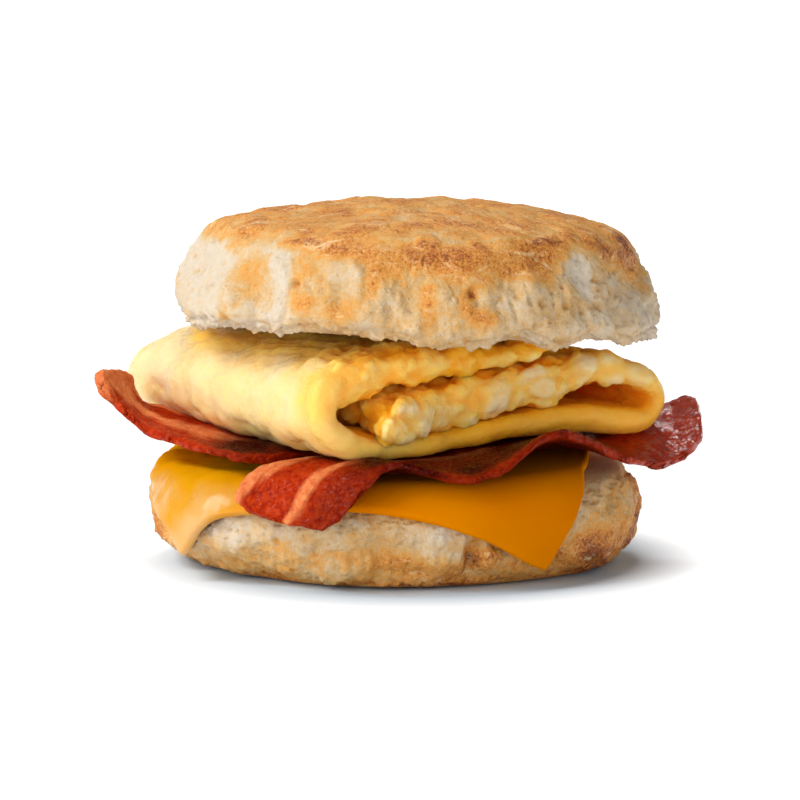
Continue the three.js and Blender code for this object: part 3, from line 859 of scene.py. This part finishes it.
def draped(x, y):
    """A point of the flat slice laid over the biscuit: it keeps its direction, and its distance from the
    middle is laid off along the section. It is lifted off by the clearance, half the thickness, a little
    more over the shoulder, and the melted wrinkles."""
    section, step = drape_section()
    course = unit(np.gradient(section, axis=0))
    angle = np.arctan2(y, x)
    reach = np.minimum(np.hypot(x, y) / step / bottom_outline(angle), DRAPE_SAMPLES - 3)
    index = np.arange(DRAPE_SAMPLES)
    radius, height = (np.interp(reach, index, section[:, n]) for n in (0, 1))
    outward, upward = (np.interp(reach, index, course[:, n]) for n in (0, 1))
    melted = CHEESE_WRINKLE * np.maximum(0, noise(x / 7, y / 5, 11)) * rise(10, 34, -x)
    lift = CLEARANCE + CHEESE_THICKNESS / 2 + SHOULDER_LIFT * rise(37, 42, radius) + melted
    wide = radius * bottom_outline(angle) - lift * upward
    return polar(wide, angle, height + leaning(wide, angle, height) + lift * outward)


def cheese_middle(u, v):
    """The slice's middle surface, draped: a four-cornered sheet with its corners cut round, its front
    edge sagging and cut in at the left, and its right edge cut in towards the front."""
    a, b = 2 * u - 1, 2 * v - 1
    s = (a * (1 - CHEESE_CORNER_CUT * b**8) + 1) / 2
    t = (b * (1 - CHEESE_CORNER_CUT * a**8) + 1) / 2
    corner = {key: np.array(value, float) for key, value in CHEESE_CORNERS.items()}
    front = mix(corner["front_left"], corner["front_right"], s[..., None])
    back = mix(corner["back_left"], corner["back_right"], s[..., None])
    flat = mix(front, back, t[..., None])
    sag = CHEESE_FRONT_SAG * np.sin(math.pi * s**1.3) - CHEESE_LEFT_CUT * bell((s - 0.17) / 0.12)
    cut = CHEESE_RIGHT_CUT * bell((t - 0.2) / 0.14) * s**4
    return draped(flat[..., 0] - cut, flat[..., 1] - sag * (1 - t) ** 2)


def cheese_material(settings):
    """Melted cheese: a little uneven in colour, another tint where it is thin, and paler with more gloss
    in the patches that hang melted."""
    f = Finish("melted cheese")
    soft = f.times(f.field("melt"), f.field("hang"))
    stops = [(0.0, paint("c26a00")), (1.0, settings.cheese_color)]
    color = f.ramp(f.span(f.grain(16, 2, 0.4), 0.3, 0.7), stops)
    color = f.blend(f.field("thin"), color, settings.thin_cheese_color)
    color = f.blend(f.times(soft, 0.85), color, settings.melted_cheese_color)
    normal = f.bump(f.grain(1.6, 2, 0.5), 0.03)
    rough = f.span(f.grain(6, 3, 0.6), 0.3, 0.7, 0.14, 0.32)
    gloss = f.span(soft, 0.0, 1.0, 0.0, 0.6)
    return f.finish(
        color=color, rough=rough, normal=normal, inside=0.2, radius=(1.0, 0.4, 0.05), depth=0.002, gloss=gloss
    )


def make_cheese(settings):
    """The draped slice, with soft folds where it melted at the left."""

    def thickness(u, v):
        """The same all over."""
        return np.full(u.shape, float(CHEESE_THICKNESS))

    def relief(p, u, v, side):
        """Soft folds on the upper face at the left, and a faint unevenness all over."""
        left = rise(12, 36, -p[..., 0]) * np.clip(side, 0, 1)
        folds = 0.9 * fractal(p * (0.6, 1, 0.8), 8, 2) + 0.25 * fractal(p, 3.5, 2)
        return settings.cheese_folds / MM * folds * left + 0.12 * fractal(p, 14, 2)

    def thin(p, u, v, side):
        """1 at the left, where the slice melted thin."""
        return rise(14, 34, -p[..., 0])

    def melt(p, u, v, side):
        """Cloudy patches where it is thin."""
        return thin(p, u, v, side) * rise(-0.5, 0.25, fractal(p * (1, 0.6, 0.6), 7, 3))

    def hang(p, u, v, side):
        """1 where the slice hangs down the side, 0 where it lies on the top."""
        return 1 - rise(15, 18.5, p[..., 2])

    size = (CHEESE_SIDE, CHEESE_SIDE)
    fields = {"thin": thin, "melt": melt, "hang": hang}
    piece = sheet_piece("cheese", CHEESE_GRID, size, CHEESE_RIM, cheese_middle, thickness, relief, fields)
    wear(piece, cheese_material(settings), "cheese_slice")


def strip_middle(strip, u, v):
    """The strip's middle surface: a straight line from its front edge to its back one, lifted by the
    crown as a parabola, with rounded ends."""
    inset = BACON_END_INSET * (1 - np.sqrt(np.maximum(0, 1 - (2 * v - 1) ** 2))) ** 2
    share = mix(inset, 1 - inset, u)
    crown = spline([(value,) for value in strip["crown"]], share)[..., 0]
    p = mix(spline(strip["front"], share), spline(strip["back"], share), v[..., None])
    return p + np.stack([0 * v, 0 * v, 4 * v * (1 - v) * crown], -1)


def fat_share(strip, u, v):
    """1 in the strip's fat bands, 0 in its meat: a bell curve across each band, whose line wanders along
    the strip."""
    total = 0
    for number, (line, width) in enumerate(strip["fat"]):
        wander = 0.05 * noise(u * 9, number * 5.0, 1) + 0.025 * noise(u * 31, number * 5.0, 2)
        swell = 1 + 0.45 * noise(u * 12, number * 5.0, 3)
        total = total + bell((v - line - wander) / (width * swell)) ** 1.5
    start, end = strip["lean_end"]
    return np.clip(total * (1 - rise(start, end, u)) + strip["fat_tip"] * (1 - rise(0.05, 0.2, u)), 0, 1)


def bacon_material(settings):
    """Marbled fried meat: deep red meat and pinkish fat by the fat field, streaked along the strip and
    speckled, with painted shade laid over it where the egg shades the strip."""
    f = Finish("fried bacon")
    fat = f.field("fat")
    lengthwise = f.stretched(f.strip_place(), (0.16, 1.0, 1.0))
    streak = f.span(f.grain(1.6, 4, 0.65, lengthwise), 0.3, 0.7, -0.3, 0.3)
    share = f.plus(fat, streak, True)
    meat_stops = [(0.28, paint("740e02")), (0.5, settings.meat_color), (0.75, paint("c04210"))]
    meat = f.ramp(f.grain(1.2, 4, 0.7), meat_stops)
    fat_stops = [(0.25, paint("bc5028")), (0.55, settings.fat_color), (0.8, paint("eca266"))]
    pale = f.ramp(f.grain(1.4, 4, 0.7), fat_stops)
    color = f.blend(f.span(share, 0.3, 0.9), meat, pale)
    # Painted shade: a near-black red where the egg shades the strip
    color = f.blend(f.field("dark"), color, paint("360301"))
    speck = f.grain(0.55, 4, 0.75)
    rough = f.span(speck, 0.45, 0.6, 0.5, 0.18)
    glint = f.times(f.span(speck, 0.5, 0.62, 0.04, 0.5), f.field("wet"))
    normal = f.bump(speck, 0.16)
    normal = f.bump(f.grain(1.5, 3, 0.6, lengthwise), 0.25, normal)
    patches = f.span(f.grain(1.6, 4, 0.7), 0.47, 0.54)
    coat = f.times(f.span(f.field("wet"), 0.5, 1.3), patches)
    return f.finish(
        color=color, rough=rough, normal=normal, inside=0.12, radius=(1.0, 0.25, 0.12), depth=0.0015,
        gloss=glint, coat=coat, coat_rough=0.08, coat_normal=f.bump(f.grain(1.8, 4, 0.65), 0.32),
    )


def make_bacon(name, strip, material, node):
    """One wavy strip with ragged edges, raised fat bands and a crinkled skin."""

    def middle(u, v):
        """The strip's middle surface, with its long edges ragged and its ends torn."""
        ragged = 0.02 * noise(u * 34, 0 * v, 4) + 0.007 * noise(u * 110, 0 * v, 6)
        tears = 0.009 * noise(v * 9, 0 * u, 12) + 0.004 * noise(v * 28, 0 * u, 14)
        torn = tears * (1 - 2 * u) * (2 * u - 1) ** 6
        return strip_middle(strip, np.clip(u + torn, 0, 1), np.clip(v + ragged * (1 - 2 * v), 0, 1))

    def thickness(u, v):
        """Thinner towards the long edges, by a half circle's height, and a little uneven."""
        crowned = 0.7 + 0.3 * np.sqrt(4 * v * (1 - v))
        return BACON_THICKNESS * (crowned + BACON_UNEVENNESS * noise(u * 18, v * 4, 3))

    def relief(p, u, v, side):
        """Fat stands up from the meat, and the whole skin is crinkled."""
        crinkle = 0.1 * noise(u * 40, v * 6, 8) + 0.28 * fractal(p, 2.4, 4)
        return 0.35 * (fat_share(strip, u, v) - 0.4) + crinkle

    def fat(p, u, v, side):
        """The share of fat at each point."""
        return fat_share(strip, u, v)

    def dark(p, u, v, side):
        """Painted shade: over the stretch of the strip that lies under the egg, and where its front edge
        starts; uneven, and lighter right at the front rim.
        """
        start, full, fades, end = strip["dark"]
        covered = rise(start, full, u) * (1 - rise(fades, end, u))
        shade = strip["shade"] * (1 - rise(0.2, 0.42, v)) * (1 - rise(0.2, 0.4, u))
        uneven = (0.9 + 0.3 * noise(u * 14, v * 3, 9)) * (1 - 0.5 * bell((v - 0.02) / 0.06))
        return np.clip(shade + covered * uneven, 0, 1)

    def wet(p, u, v, side):
        """How wet the skin looks, more beyond a place along the strip."""
        return 0.45 + 0.9 * rise(*strip["wet"], u)

    fields = {"fat": fat, "dark": dark, "wet": wet}
    size = (BACON_LENGTH, BACON_WIDTH)
    piece = sheet_piece(name, BACON_GRID, size, BACON_RIM, middle, thickness, relief, fields)
    wear(piece, material, node)


def egg_fullness(along):
    """How much of the egg's height is left near its far end: the square root of 1 less a share of the way
    squared."""
    into = np.maximum(0, along - (EGG_LENGTH - EGG_END_ROUNDING)) / EGG_END_ROUNDING
    return np.sqrt(1 - 0.86 * into**2)


def egg_middle(u, v):
    """The folded sheet's middle surface: its section carried along the fold, squeezed and lifted towards
    the far end. The inner flap's near end is ragged and droops, and so does the far right corner."""
    s = even_spline(EGG_SECTION, u)
    tongue = bell(u / TONGUE_WIDTH)
    ragged = RAGGED_EDGE * noise(u * 26, 0, 7) * (1 - v) - TONGUE_REACH * tongue * (1 - v)
    along = v * EGG_LENGTH + ragged
    fullness = egg_fullness(along)
    level = (s[..., 1] - EGG_BASE) / EGG_HEIGHT
    lift = EGG_RISE * along - EGG_SQUEEZE * along * level
    wave = EGG_WAVE * noise(s[..., 0] / 9, along / 9, 5)
    droop = -TONGUE_DROOP * tongue * (1 - rise(0, 0.16, v))
    corner = -EGG_CORNER_DROOP * rise(30, 72, s[..., 0]) * rise(30, EGG_LENGTH, along)
    height = mix(EGG_BASE + EGG_HEIGHT / 2, s[..., 1], fullness) + lift + wave + droop + corner
    x, y = s[..., 0], along
    east = EGG_CORNER[0] + x * math.cos(EGG_TURN) - y * math.sin(EGG_TURN)
    north = EGG_CORNER[1] + x * math.sin(EGG_TURN) + y * math.cos(EGG_TURN)
    return np.stack([east, north, height], -1)


def egg_thickness(u, v):
    """Thickness from the section, less towards the far end."""
    return even_spline(EGG_SECTION, u)[..., 2] * egg_fullness(v * EGG_LENGTH)


def lumpy(p, u):
    """1 on the inner flap, growing from 0.1 at the left to 1 at the right on the top flap, less on the
    loop at the right, 0 elsewhere."""
    flap = 1 - rise(0.25, 0.3, u)
    above = rise(0.735, 0.77, u) * (0.1 + 0.3 * rise(-34, -24, p[..., 0]) + 0.6 * rise(-16, -4, p[..., 0]))
    loop = 0.5 * rise(0.24, 0.27, u) * (1 - rise(0.3, 0.34, u))
    return np.maximum(np.maximum(flap, above), loop)


def curds(p):
    """Curds from 0 in the creases to 1 on the highest: plates round scattered points, each with a height
    of its own, bent out of true by noise, with smaller ones over them."""
    bent = p + 1.6 * np.stack([fractal(p + shift, 4, 2) for shift in (3, 17, 41)], -1)
    total = 0
    for size, weight in ((5.2, 0.65), (2.7, 0.35)):
        nearest, number = cells(bent + size, size)
        total = total + weight * (0.7 + 0.3 * number) * (1 - rise(0.3, 0.78, nearest))
    return total


def crevice_shade(u, v, side):
    """1 on the faces of the layers that lie against each other, 0 on their outer faces and at the cut
    rim: the mask of the painted shade between the layers."""
    against = (u < 0.3) | ((u < 0.7) & (side < 0)) | ((u > 0.76) & (side < 0))
    return against * rise(0.5, 2.1, v * EGG_LENGTH)


def egg_material(settings):
    """Cooked egg: pale, and a deeper yellow where the field of painted shade and random unevenness
    rises, with creases and fine bubbles."""
    f = Finish("cooked egg")
    # The deeper yellows of the ramp mostly stand for painted shade
    stops = [(0.0, settings.egg_color), (0.35, paint("ecc05e")), (0.9, settings.egg_shade_color)]
    color = f.ramp(f.field("tone"), stops)
    bubbles = f.span(f.spots(1.2, smooth=0.4), 0.1, 0.6)
    patchy = f.span(f.grain(9, 3, 0.6), 0.48, 0.62)
    creases = f.times(f.spots(2.4, f.warped(2.0, 0.9)), f.field("lumpy"))
    normal = f.bump(creases, -0.45, f.bump(f.grain(2.2, 3, 0.55), 0.12))
    normal = f.bump(f.times(f.grain(0.5, 4, 0.7), f.span(patchy, 0.0, 1.0, 0.35, 1.0)), 0.2, normal)
    normal = f.bump(bubbles, 0.06, normal)
    rough = f.span(patchy, 0.0, 1.0, 0.44, 0.24)
    return f.finish(
        color=color, rough=rough, normal=normal, inside=0.8, radius=(1.0, 0.6, 0.25), depth=0.005, gloss=0.22
    )


def make_egg(settings):
    """The folded egg: soft lumps all over, and larger curds on the inner flap and at the top flap's right."""

    def relief(p, u, v, side):
        """Soft lumps, curds where it is lumpy, scallops where the lower layer turns up, a sag at the
        right bend."""
        soft = 0.6 * fractal(p, 7, 3) + 0.2 * fractal(p, 2.2, 3)
        scallops = 1.9 * (lumps(p + 31, 5.2) - 0.5) * bell((u - 0.695) / 0.05)
        inward = 0.6 + 0.4 * rise(0, 3, v * EGG_LENGTH)
        loop = rise(0.3, 0.34, u) * (1 - rise(0.45, 0.55, u))
        sagging = 0.8 * loop * (side > 0) * rise(0.3, 3.5, v * EGG_LENGTH)
        coarse = lumpy(p, u) * 2.5 * (curds(p) - 0.45) * inward
        return sagging + settings.egg_lumps / MM * (soft + coarse + scallops)

    def tone(p, u, v, side):
        """How deep the yellow is, mostly painted shade: deeper low down, at the cut, under the upper half, in
        the folds, between the layers, towards the right and in the creases, and a little uneven at random."""
        low = 1 - rise(24, 31, p[..., 2])
        cut = 0.3 * (1 - rise(2, 9, v * EGG_LENGTH)) * rise(0.7, 0.76, u)
        # Painted shade under the upper half's overhang
        covered = 1 - rise(-1.5, 3, np.hypot(p[..., 0] - TOP_OFFSET, p[..., 1]) - TOP_RADIUS + 3.5)
        bun_shade = covered * rise(38.5, 41.5, p[..., 2])
        folds = rise(0.3, 0.36, u) * (1 - rise(0.6, 0.68, u))
        # Random unevenness, then painted shade: deeper towards the right, deeper in the creases and paler on
        # the curds' tops
        spread = 0.2 * fractal(p, 9, 3) + 0.26 * rise(-22, 5, p[..., 0])
        spread = spread + lumpy(p, u) * (0.28 - 0.85 * curds(p))
        return 0.08 + 0.1 * low + cut + 0.42 * bun_shade + 0.35 * folds + 0.5 * crevice_shade(u, v, side) + spread

    def creased(p, u, v, side):
        """How deep the creases are: faint all over, full where it is lumpy."""
        return 0.15 + 0.85 * lumpy(p, u)

    size = (spline_length(EGG_SECTION), EGG_LENGTH)
    fields = {"tone": tone, "lumpy": creased}
    piece = sheet_piece("folded_egg", EGG_GRID, size, EGG_RIM, egg_middle, egg_thickness, relief, fields)
    wear(piece, egg_material(settings), "egg_fold")


def make_stage(settings):
    """The floor: a flat disc whose rim curves up by a quarter circle, so that it is pale in every
    direction. It shines by itself outside an oval under the sandwich, and the sandwich's shade shows in
    that oval."""
    turn = np.linspace(0, math.pi / 2, BEND_RINGS)[1:]
    level = np.linspace(SWEEP_MIDDLE, SWEEP_RADIUS - SWEEP_BEND, SWEEP_RINGS)
    bend = SWEEP_RADIUS - SWEEP_BEND + SWEEP_BEND * np.sin(turn)
    reach = np.concatenate([level, bend, [SWEEP_RADIUS]])
    climb = SWEEP_BEND * (1 - np.cos(turn))
    height = np.concatenate([np.zeros(SWEEP_RINGS), climb, [SWEEP_BEND + SWEEP_RIM]])
    angle = np.linspace(0, 2 * math.pi, SWEEP_SIDES, endpoint=False)
    points = polar(reach[:, None] / MM, angle[None, :], height[:, None] / MM)
    ids = 1 + np.arange(points.shape[0] * SWEEP_SIDES).reshape(-1, SWEEP_SIDES)
    beside = np.roll(ids, -1, axis=1)
    quads = np.stack([ids[:-1], ids[1:], beside[1:], beside[:-1]], -1).reshape(-1, 4)
    middle = np.stack([np.zeros_like(ids[0]), ids[0], beside[0]], -1)
    floor = make_mesh("floor", np.vstack([[(0, 0, 0)], points.reshape(-1, 3)]), [quads, middle], {})
    f = Finish("studio floor")
    oval = f.stretched(f.place, OVAL_STRETCH)
    away = f.node("ShaderNodeVectorMath", {0: oval, 1: OVAL_MIDDLE}, operation="DISTANCE").outputs["Value"]
    near = f.span(away, *OVAL_BORDER, 0.0, NEAR_GLOW * settings.backdrop_glow)
    far = f.span(away, *FAR_REACH, 0.0, FAR_GLOW * settings.backdrop_glow)
    grain = f.ramp(f.grain(300, 1, 0.5), [(0.0, paint("c6daec")), (1.0, settings.floor_color)])
    tint = f.blend(f.span(away, *OVAL_BORDER), grain, paint("848484"))
    f.set(f.shader, "Emission Strength", f.plus(near, far))
    f.shader.inputs["Emission Color"].default_value = (1, 1, 1, 1)
    floor.data.materials.append(f.finish(color=tint, rough=0.9, gloss=0.1))


def make_light(name, place, size, power, color):
    """A square soft light at a place, turned to the lights' aim."""
    data = bpy.data.lights.new(name, "AREA")
    data.size = size
    data.energy = power
    data.color = color
    light = bpy.data.objects.new(name, data)
    light.location = place
    light.rotation_euler = (Vector(LIGHT_AIM) - Vector(place)).to_track_quat("-Z", "Y").to_euler()
    bpy.context.scene.collection.objects.link(light)


def make_camera():
    """The camera at the photographed viewing angle."""
    data = bpy.data.cameras.new("camera")
    data.lens = CAMERA_LENS
    camera = bpy.data.objects.new("camera", data)
    camera.location = CAMERA_PLACE
    camera.rotation_euler = (math.radians(90 - CAMERA_PITCH), 0, 0)
    bpy.context.scene.collection.objects.link(camera)
    bpy.context.scene.camera = camera


def length_setting(name, description, millimetres):
    """A length that a user may change, kept in metres."""
    return FloatProperty(
        name=name, description=description, default=millimetres * MM, min=0, precision=4,
        subtype="DISTANCE", unit="LENGTH",
    )


def power_setting(name, description, watts):
    """A light's power that a user may change."""
    return FloatProperty(
        name=name, description=description, default=watts, min=0, subtype="POWER", unit="POWER"
    )


def color_setting(name, description, code):
    """A colour that a user may change, from a six-digit sRGB code."""
    return FloatVectorProperty(
        name=name, description=description, default=paint(code), size=4, min=0, max=1, subtype="COLOR"
    )


class SandwichSettings(bpy.types.PropertyGroup):
    """Sizes, colours and light levels that a user would change."""

    crag_depth: length_setting("Crag depth", "Depth of the crags above the base", 2.8)
    tear_depth: length_setting("Tear depth", "Depth of the torn crumb", 1.0)
    pore_depth: length_setting("Pore depth", "Depth of the pores in the crumb", 0.7)
    crust_depth: length_setting("Crust relief", "Depth of the crust's wrinkles", 0.7)
    crack_depth: length_setting("Crack depth", "Depth of the crust's cracks", 0.5)
    cheese_folds: length_setting("Cheese folds", "Height of the melted folds", 1.2)
    egg_lumps: length_setting("Egg lumps", "Height of the egg's lumps", 1.0)
    crumb_color: color_setting("Crumb", "Colour of the bare crumb", "c8bcaa")
    crust_color: color_setting("Crust", "Colour of the golden crust", "d08c38")
    scorch_color: color_setting("Scorched crust", "Colour of the darkest crust", "763a10")
    cheese_color: color_setting("Cheese", "Colour of the cheese slice", "ca7600")
    thin_cheese_color: color_setting("Thin cheese", "Colour where the slice melted thin", "cc8c04")
    melted_cheese_color: color_setting("Melted cheese", "Colour of its pale hanging folds", "d2a25e")
    meat_color: color_setting("Bacon meat", "Colour of the fried meat", "a42804")
    fat_color: color_setting("Bacon fat", "Colour of the fried fat", "da7c48")
    egg_color: color_setting("Egg", "Colour of the egg's outer face", "e2ca9a")
    # Painted shade: the deep orange that the egg gets in its folds, under the upper half and towards the
    # right
    egg_shade_color: color_setting("Inner egg", "Colour in the egg's folds", "fcaa1e")
    floor_color: color_setting("Floor", "Colour of the floor under the sandwich", "cee0f0")
    key_power: power_setting("Key light", "Power of the main soft light", 3.9)
    side_power: power_setting("Side light", "Power of the low light at the left", 1.75)
    fill_power: power_setting("Fill light", "Power of the weak light opposite", 0.42)
    top_power: power_setting("Top light", "Power of the small light above and behind", 1.9)
    front_power: power_setting("Front light", "Power of the weak light beside the camera", 0.75)
    backdrop_glow: FloatProperty(
        name="Backdrop glow", description="How brightly the far floor shines", default=1.0, min=0
    )
    sky: FloatVectorProperty(
        name="Room light", description="Colour of the even light from all round",
        default=(0.2, 0.178, 0.157), subtype="COLOR", min=0, max=1,
    )


class SANDWICH_OT_bottom(bpy.types.Operator):
    """Make the lower half of the biscuit."""

    bl_idname = "sandwich.bottom"
    bl_label = "Lower half"
    bl_options = {"REGISTER", "UNDO"}

    def execute(self, context):
        """Makes the lower half and gives it its finish."""
        settings = context.scene.sandwich
        points, browning = bottom_surface(settings)
        piece = round_mesh("lower_half", points, {"browning": browning})
        wear(piece, baked_material("lower biscuit", settings, 0.16), "bottom_biscuit")
        return {"FINISHED"}


class SANDWICH_OT_top(bpy.types.Operator):
    """Make the upper half of the biscuit."""

    bl_idname = "sandwich.top"
    bl_label = "Upper half"
    bl_options = {"REGISTER", "UNDO"}

    def execute(self, context):
        """Makes the upper half and gives it its finish."""
        settings = context.scene.sandwich
        points, browning = top_surface(settings)
        piece = round_mesh("upper_half", points, {"browning": browning})
        wear(piece, baked_material("upper biscuit", settings, 0.18), "top_biscuit")
        return {"FINISHED"}


class SANDWICH_OT_cheese(bpy.types.Operator):
    """Make the melted cheese slice."""

    bl_idname = "sandwich.cheese"
    bl_label = "Cheese"
    bl_options = {"REGISTER", "UNDO"}

    def execute(self, context):
        """Makes the slice."""
        make_cheese(context.scene.sandwich)
        return {"FINISHED"}


class SANDWICH_OT_bacon(bpy.types.Operator):
    """Make the two bacon strips."""

    bl_idname = "sandwich.bacon"
    bl_label = "Bacon"
    bl_options = {"REGISTER", "UNDO"}

    def execute(self, context):
        """Makes both strips with one finish."""
        material = bacon_material(context.scene.sandwich)
        make_bacon("front_strip", FRONT_STRIP, material, "bacon_front")
        make_bacon("left_strip", LEFT_STRIP, material, "bacon_left")
        return {"FINISHED"}


class SANDWICH_OT_egg(bpy.types.Operator):
    """Make the folded egg."""

    bl_idname = "sandwich.egg"
    bl_label = "Egg"
    bl_options = {"REGISTER", "UNDO"}

    def execute(self, context):
        """Makes the egg."""
        make_egg(context.scene.sandwich)
        return {"FINISHED"}


class SANDWICH_OT_stage(bpy.types.Operator):
    """Make the floor, the lights and the camera."""

    bl_idname = "sandwich.stage"
    bl_label = "Studio"
    bl_options = {"REGISTER", "UNDO"}

    def execute(self, context):
        """Makes the studio round the sandwich."""
        settings = context.scene.sandwich
        make_camera()
        make_stage(settings)
        for name, (place, size, color) in LIGHTS.items():
            make_light(name, place, size, getattr(settings, name + "_power"), color)
        scene = bpy.context.scene
        scene.world = bpy.data.worlds.new("room")
        scene.world.use_nodes = True
        scene.world.node_tree.nodes["Background"].inputs["Color"].default_value = (*settings.sky, 1)
        scene.view_settings.view_transform = "Standard"
        scene.view_settings.look = "None"
        return {"FINISHED"}


# The operators in the order in which they run
STEPS = ("stage", "bottom", "cheese", "bacon", "egg", "top")


class SANDWICH_PT_panel(bpy.types.Panel):
    """Lists the sandwich's sizes and its operators."""

    bl_label = "Breakfast Sandwich"
    bl_space_type = "VIEW_3D"
    bl_region_type = "UI"
    bl_category = "Sandwich"

    def draw(self, context):
        """Draws the settings, then a button for each operator."""
        for key in SandwichSettings.__annotations__:
            self.layout.prop(context.scene.sandwich, key)
        for step in STEPS:
            self.layout.operator("sandwich." + step)


CLASSES = (
    SandwichSettings,
    SANDWICH_OT_bottom,
    SANDWICH_OT_top,
    SANDWICH_OT_cheese,
    SANDWICH_OT_bacon,
    SANDWICH_OT_egg,
    SANDWICH_OT_stage,
    SANDWICH_PT_panel,
)


def register():
    """Adds the classes and the settings."""
    for kind in CLASSES:
        bpy.utils.register_class(kind)
    bpy.types.Scene.sandwich = PointerProperty(type=SandwichSettings)


def unregister():
    """Takes them away again."""
    del bpy.types.Scene.sandwich
    for kind in reversed(CLASSES):
        bpy.utils.unregister_class(kind)


def main():
    """Makes everything in order."""
    register()
    for step in STEPS:
        getattr(bpy.ops.sandwich, step)()


if __name__ == "__main__":
    main()
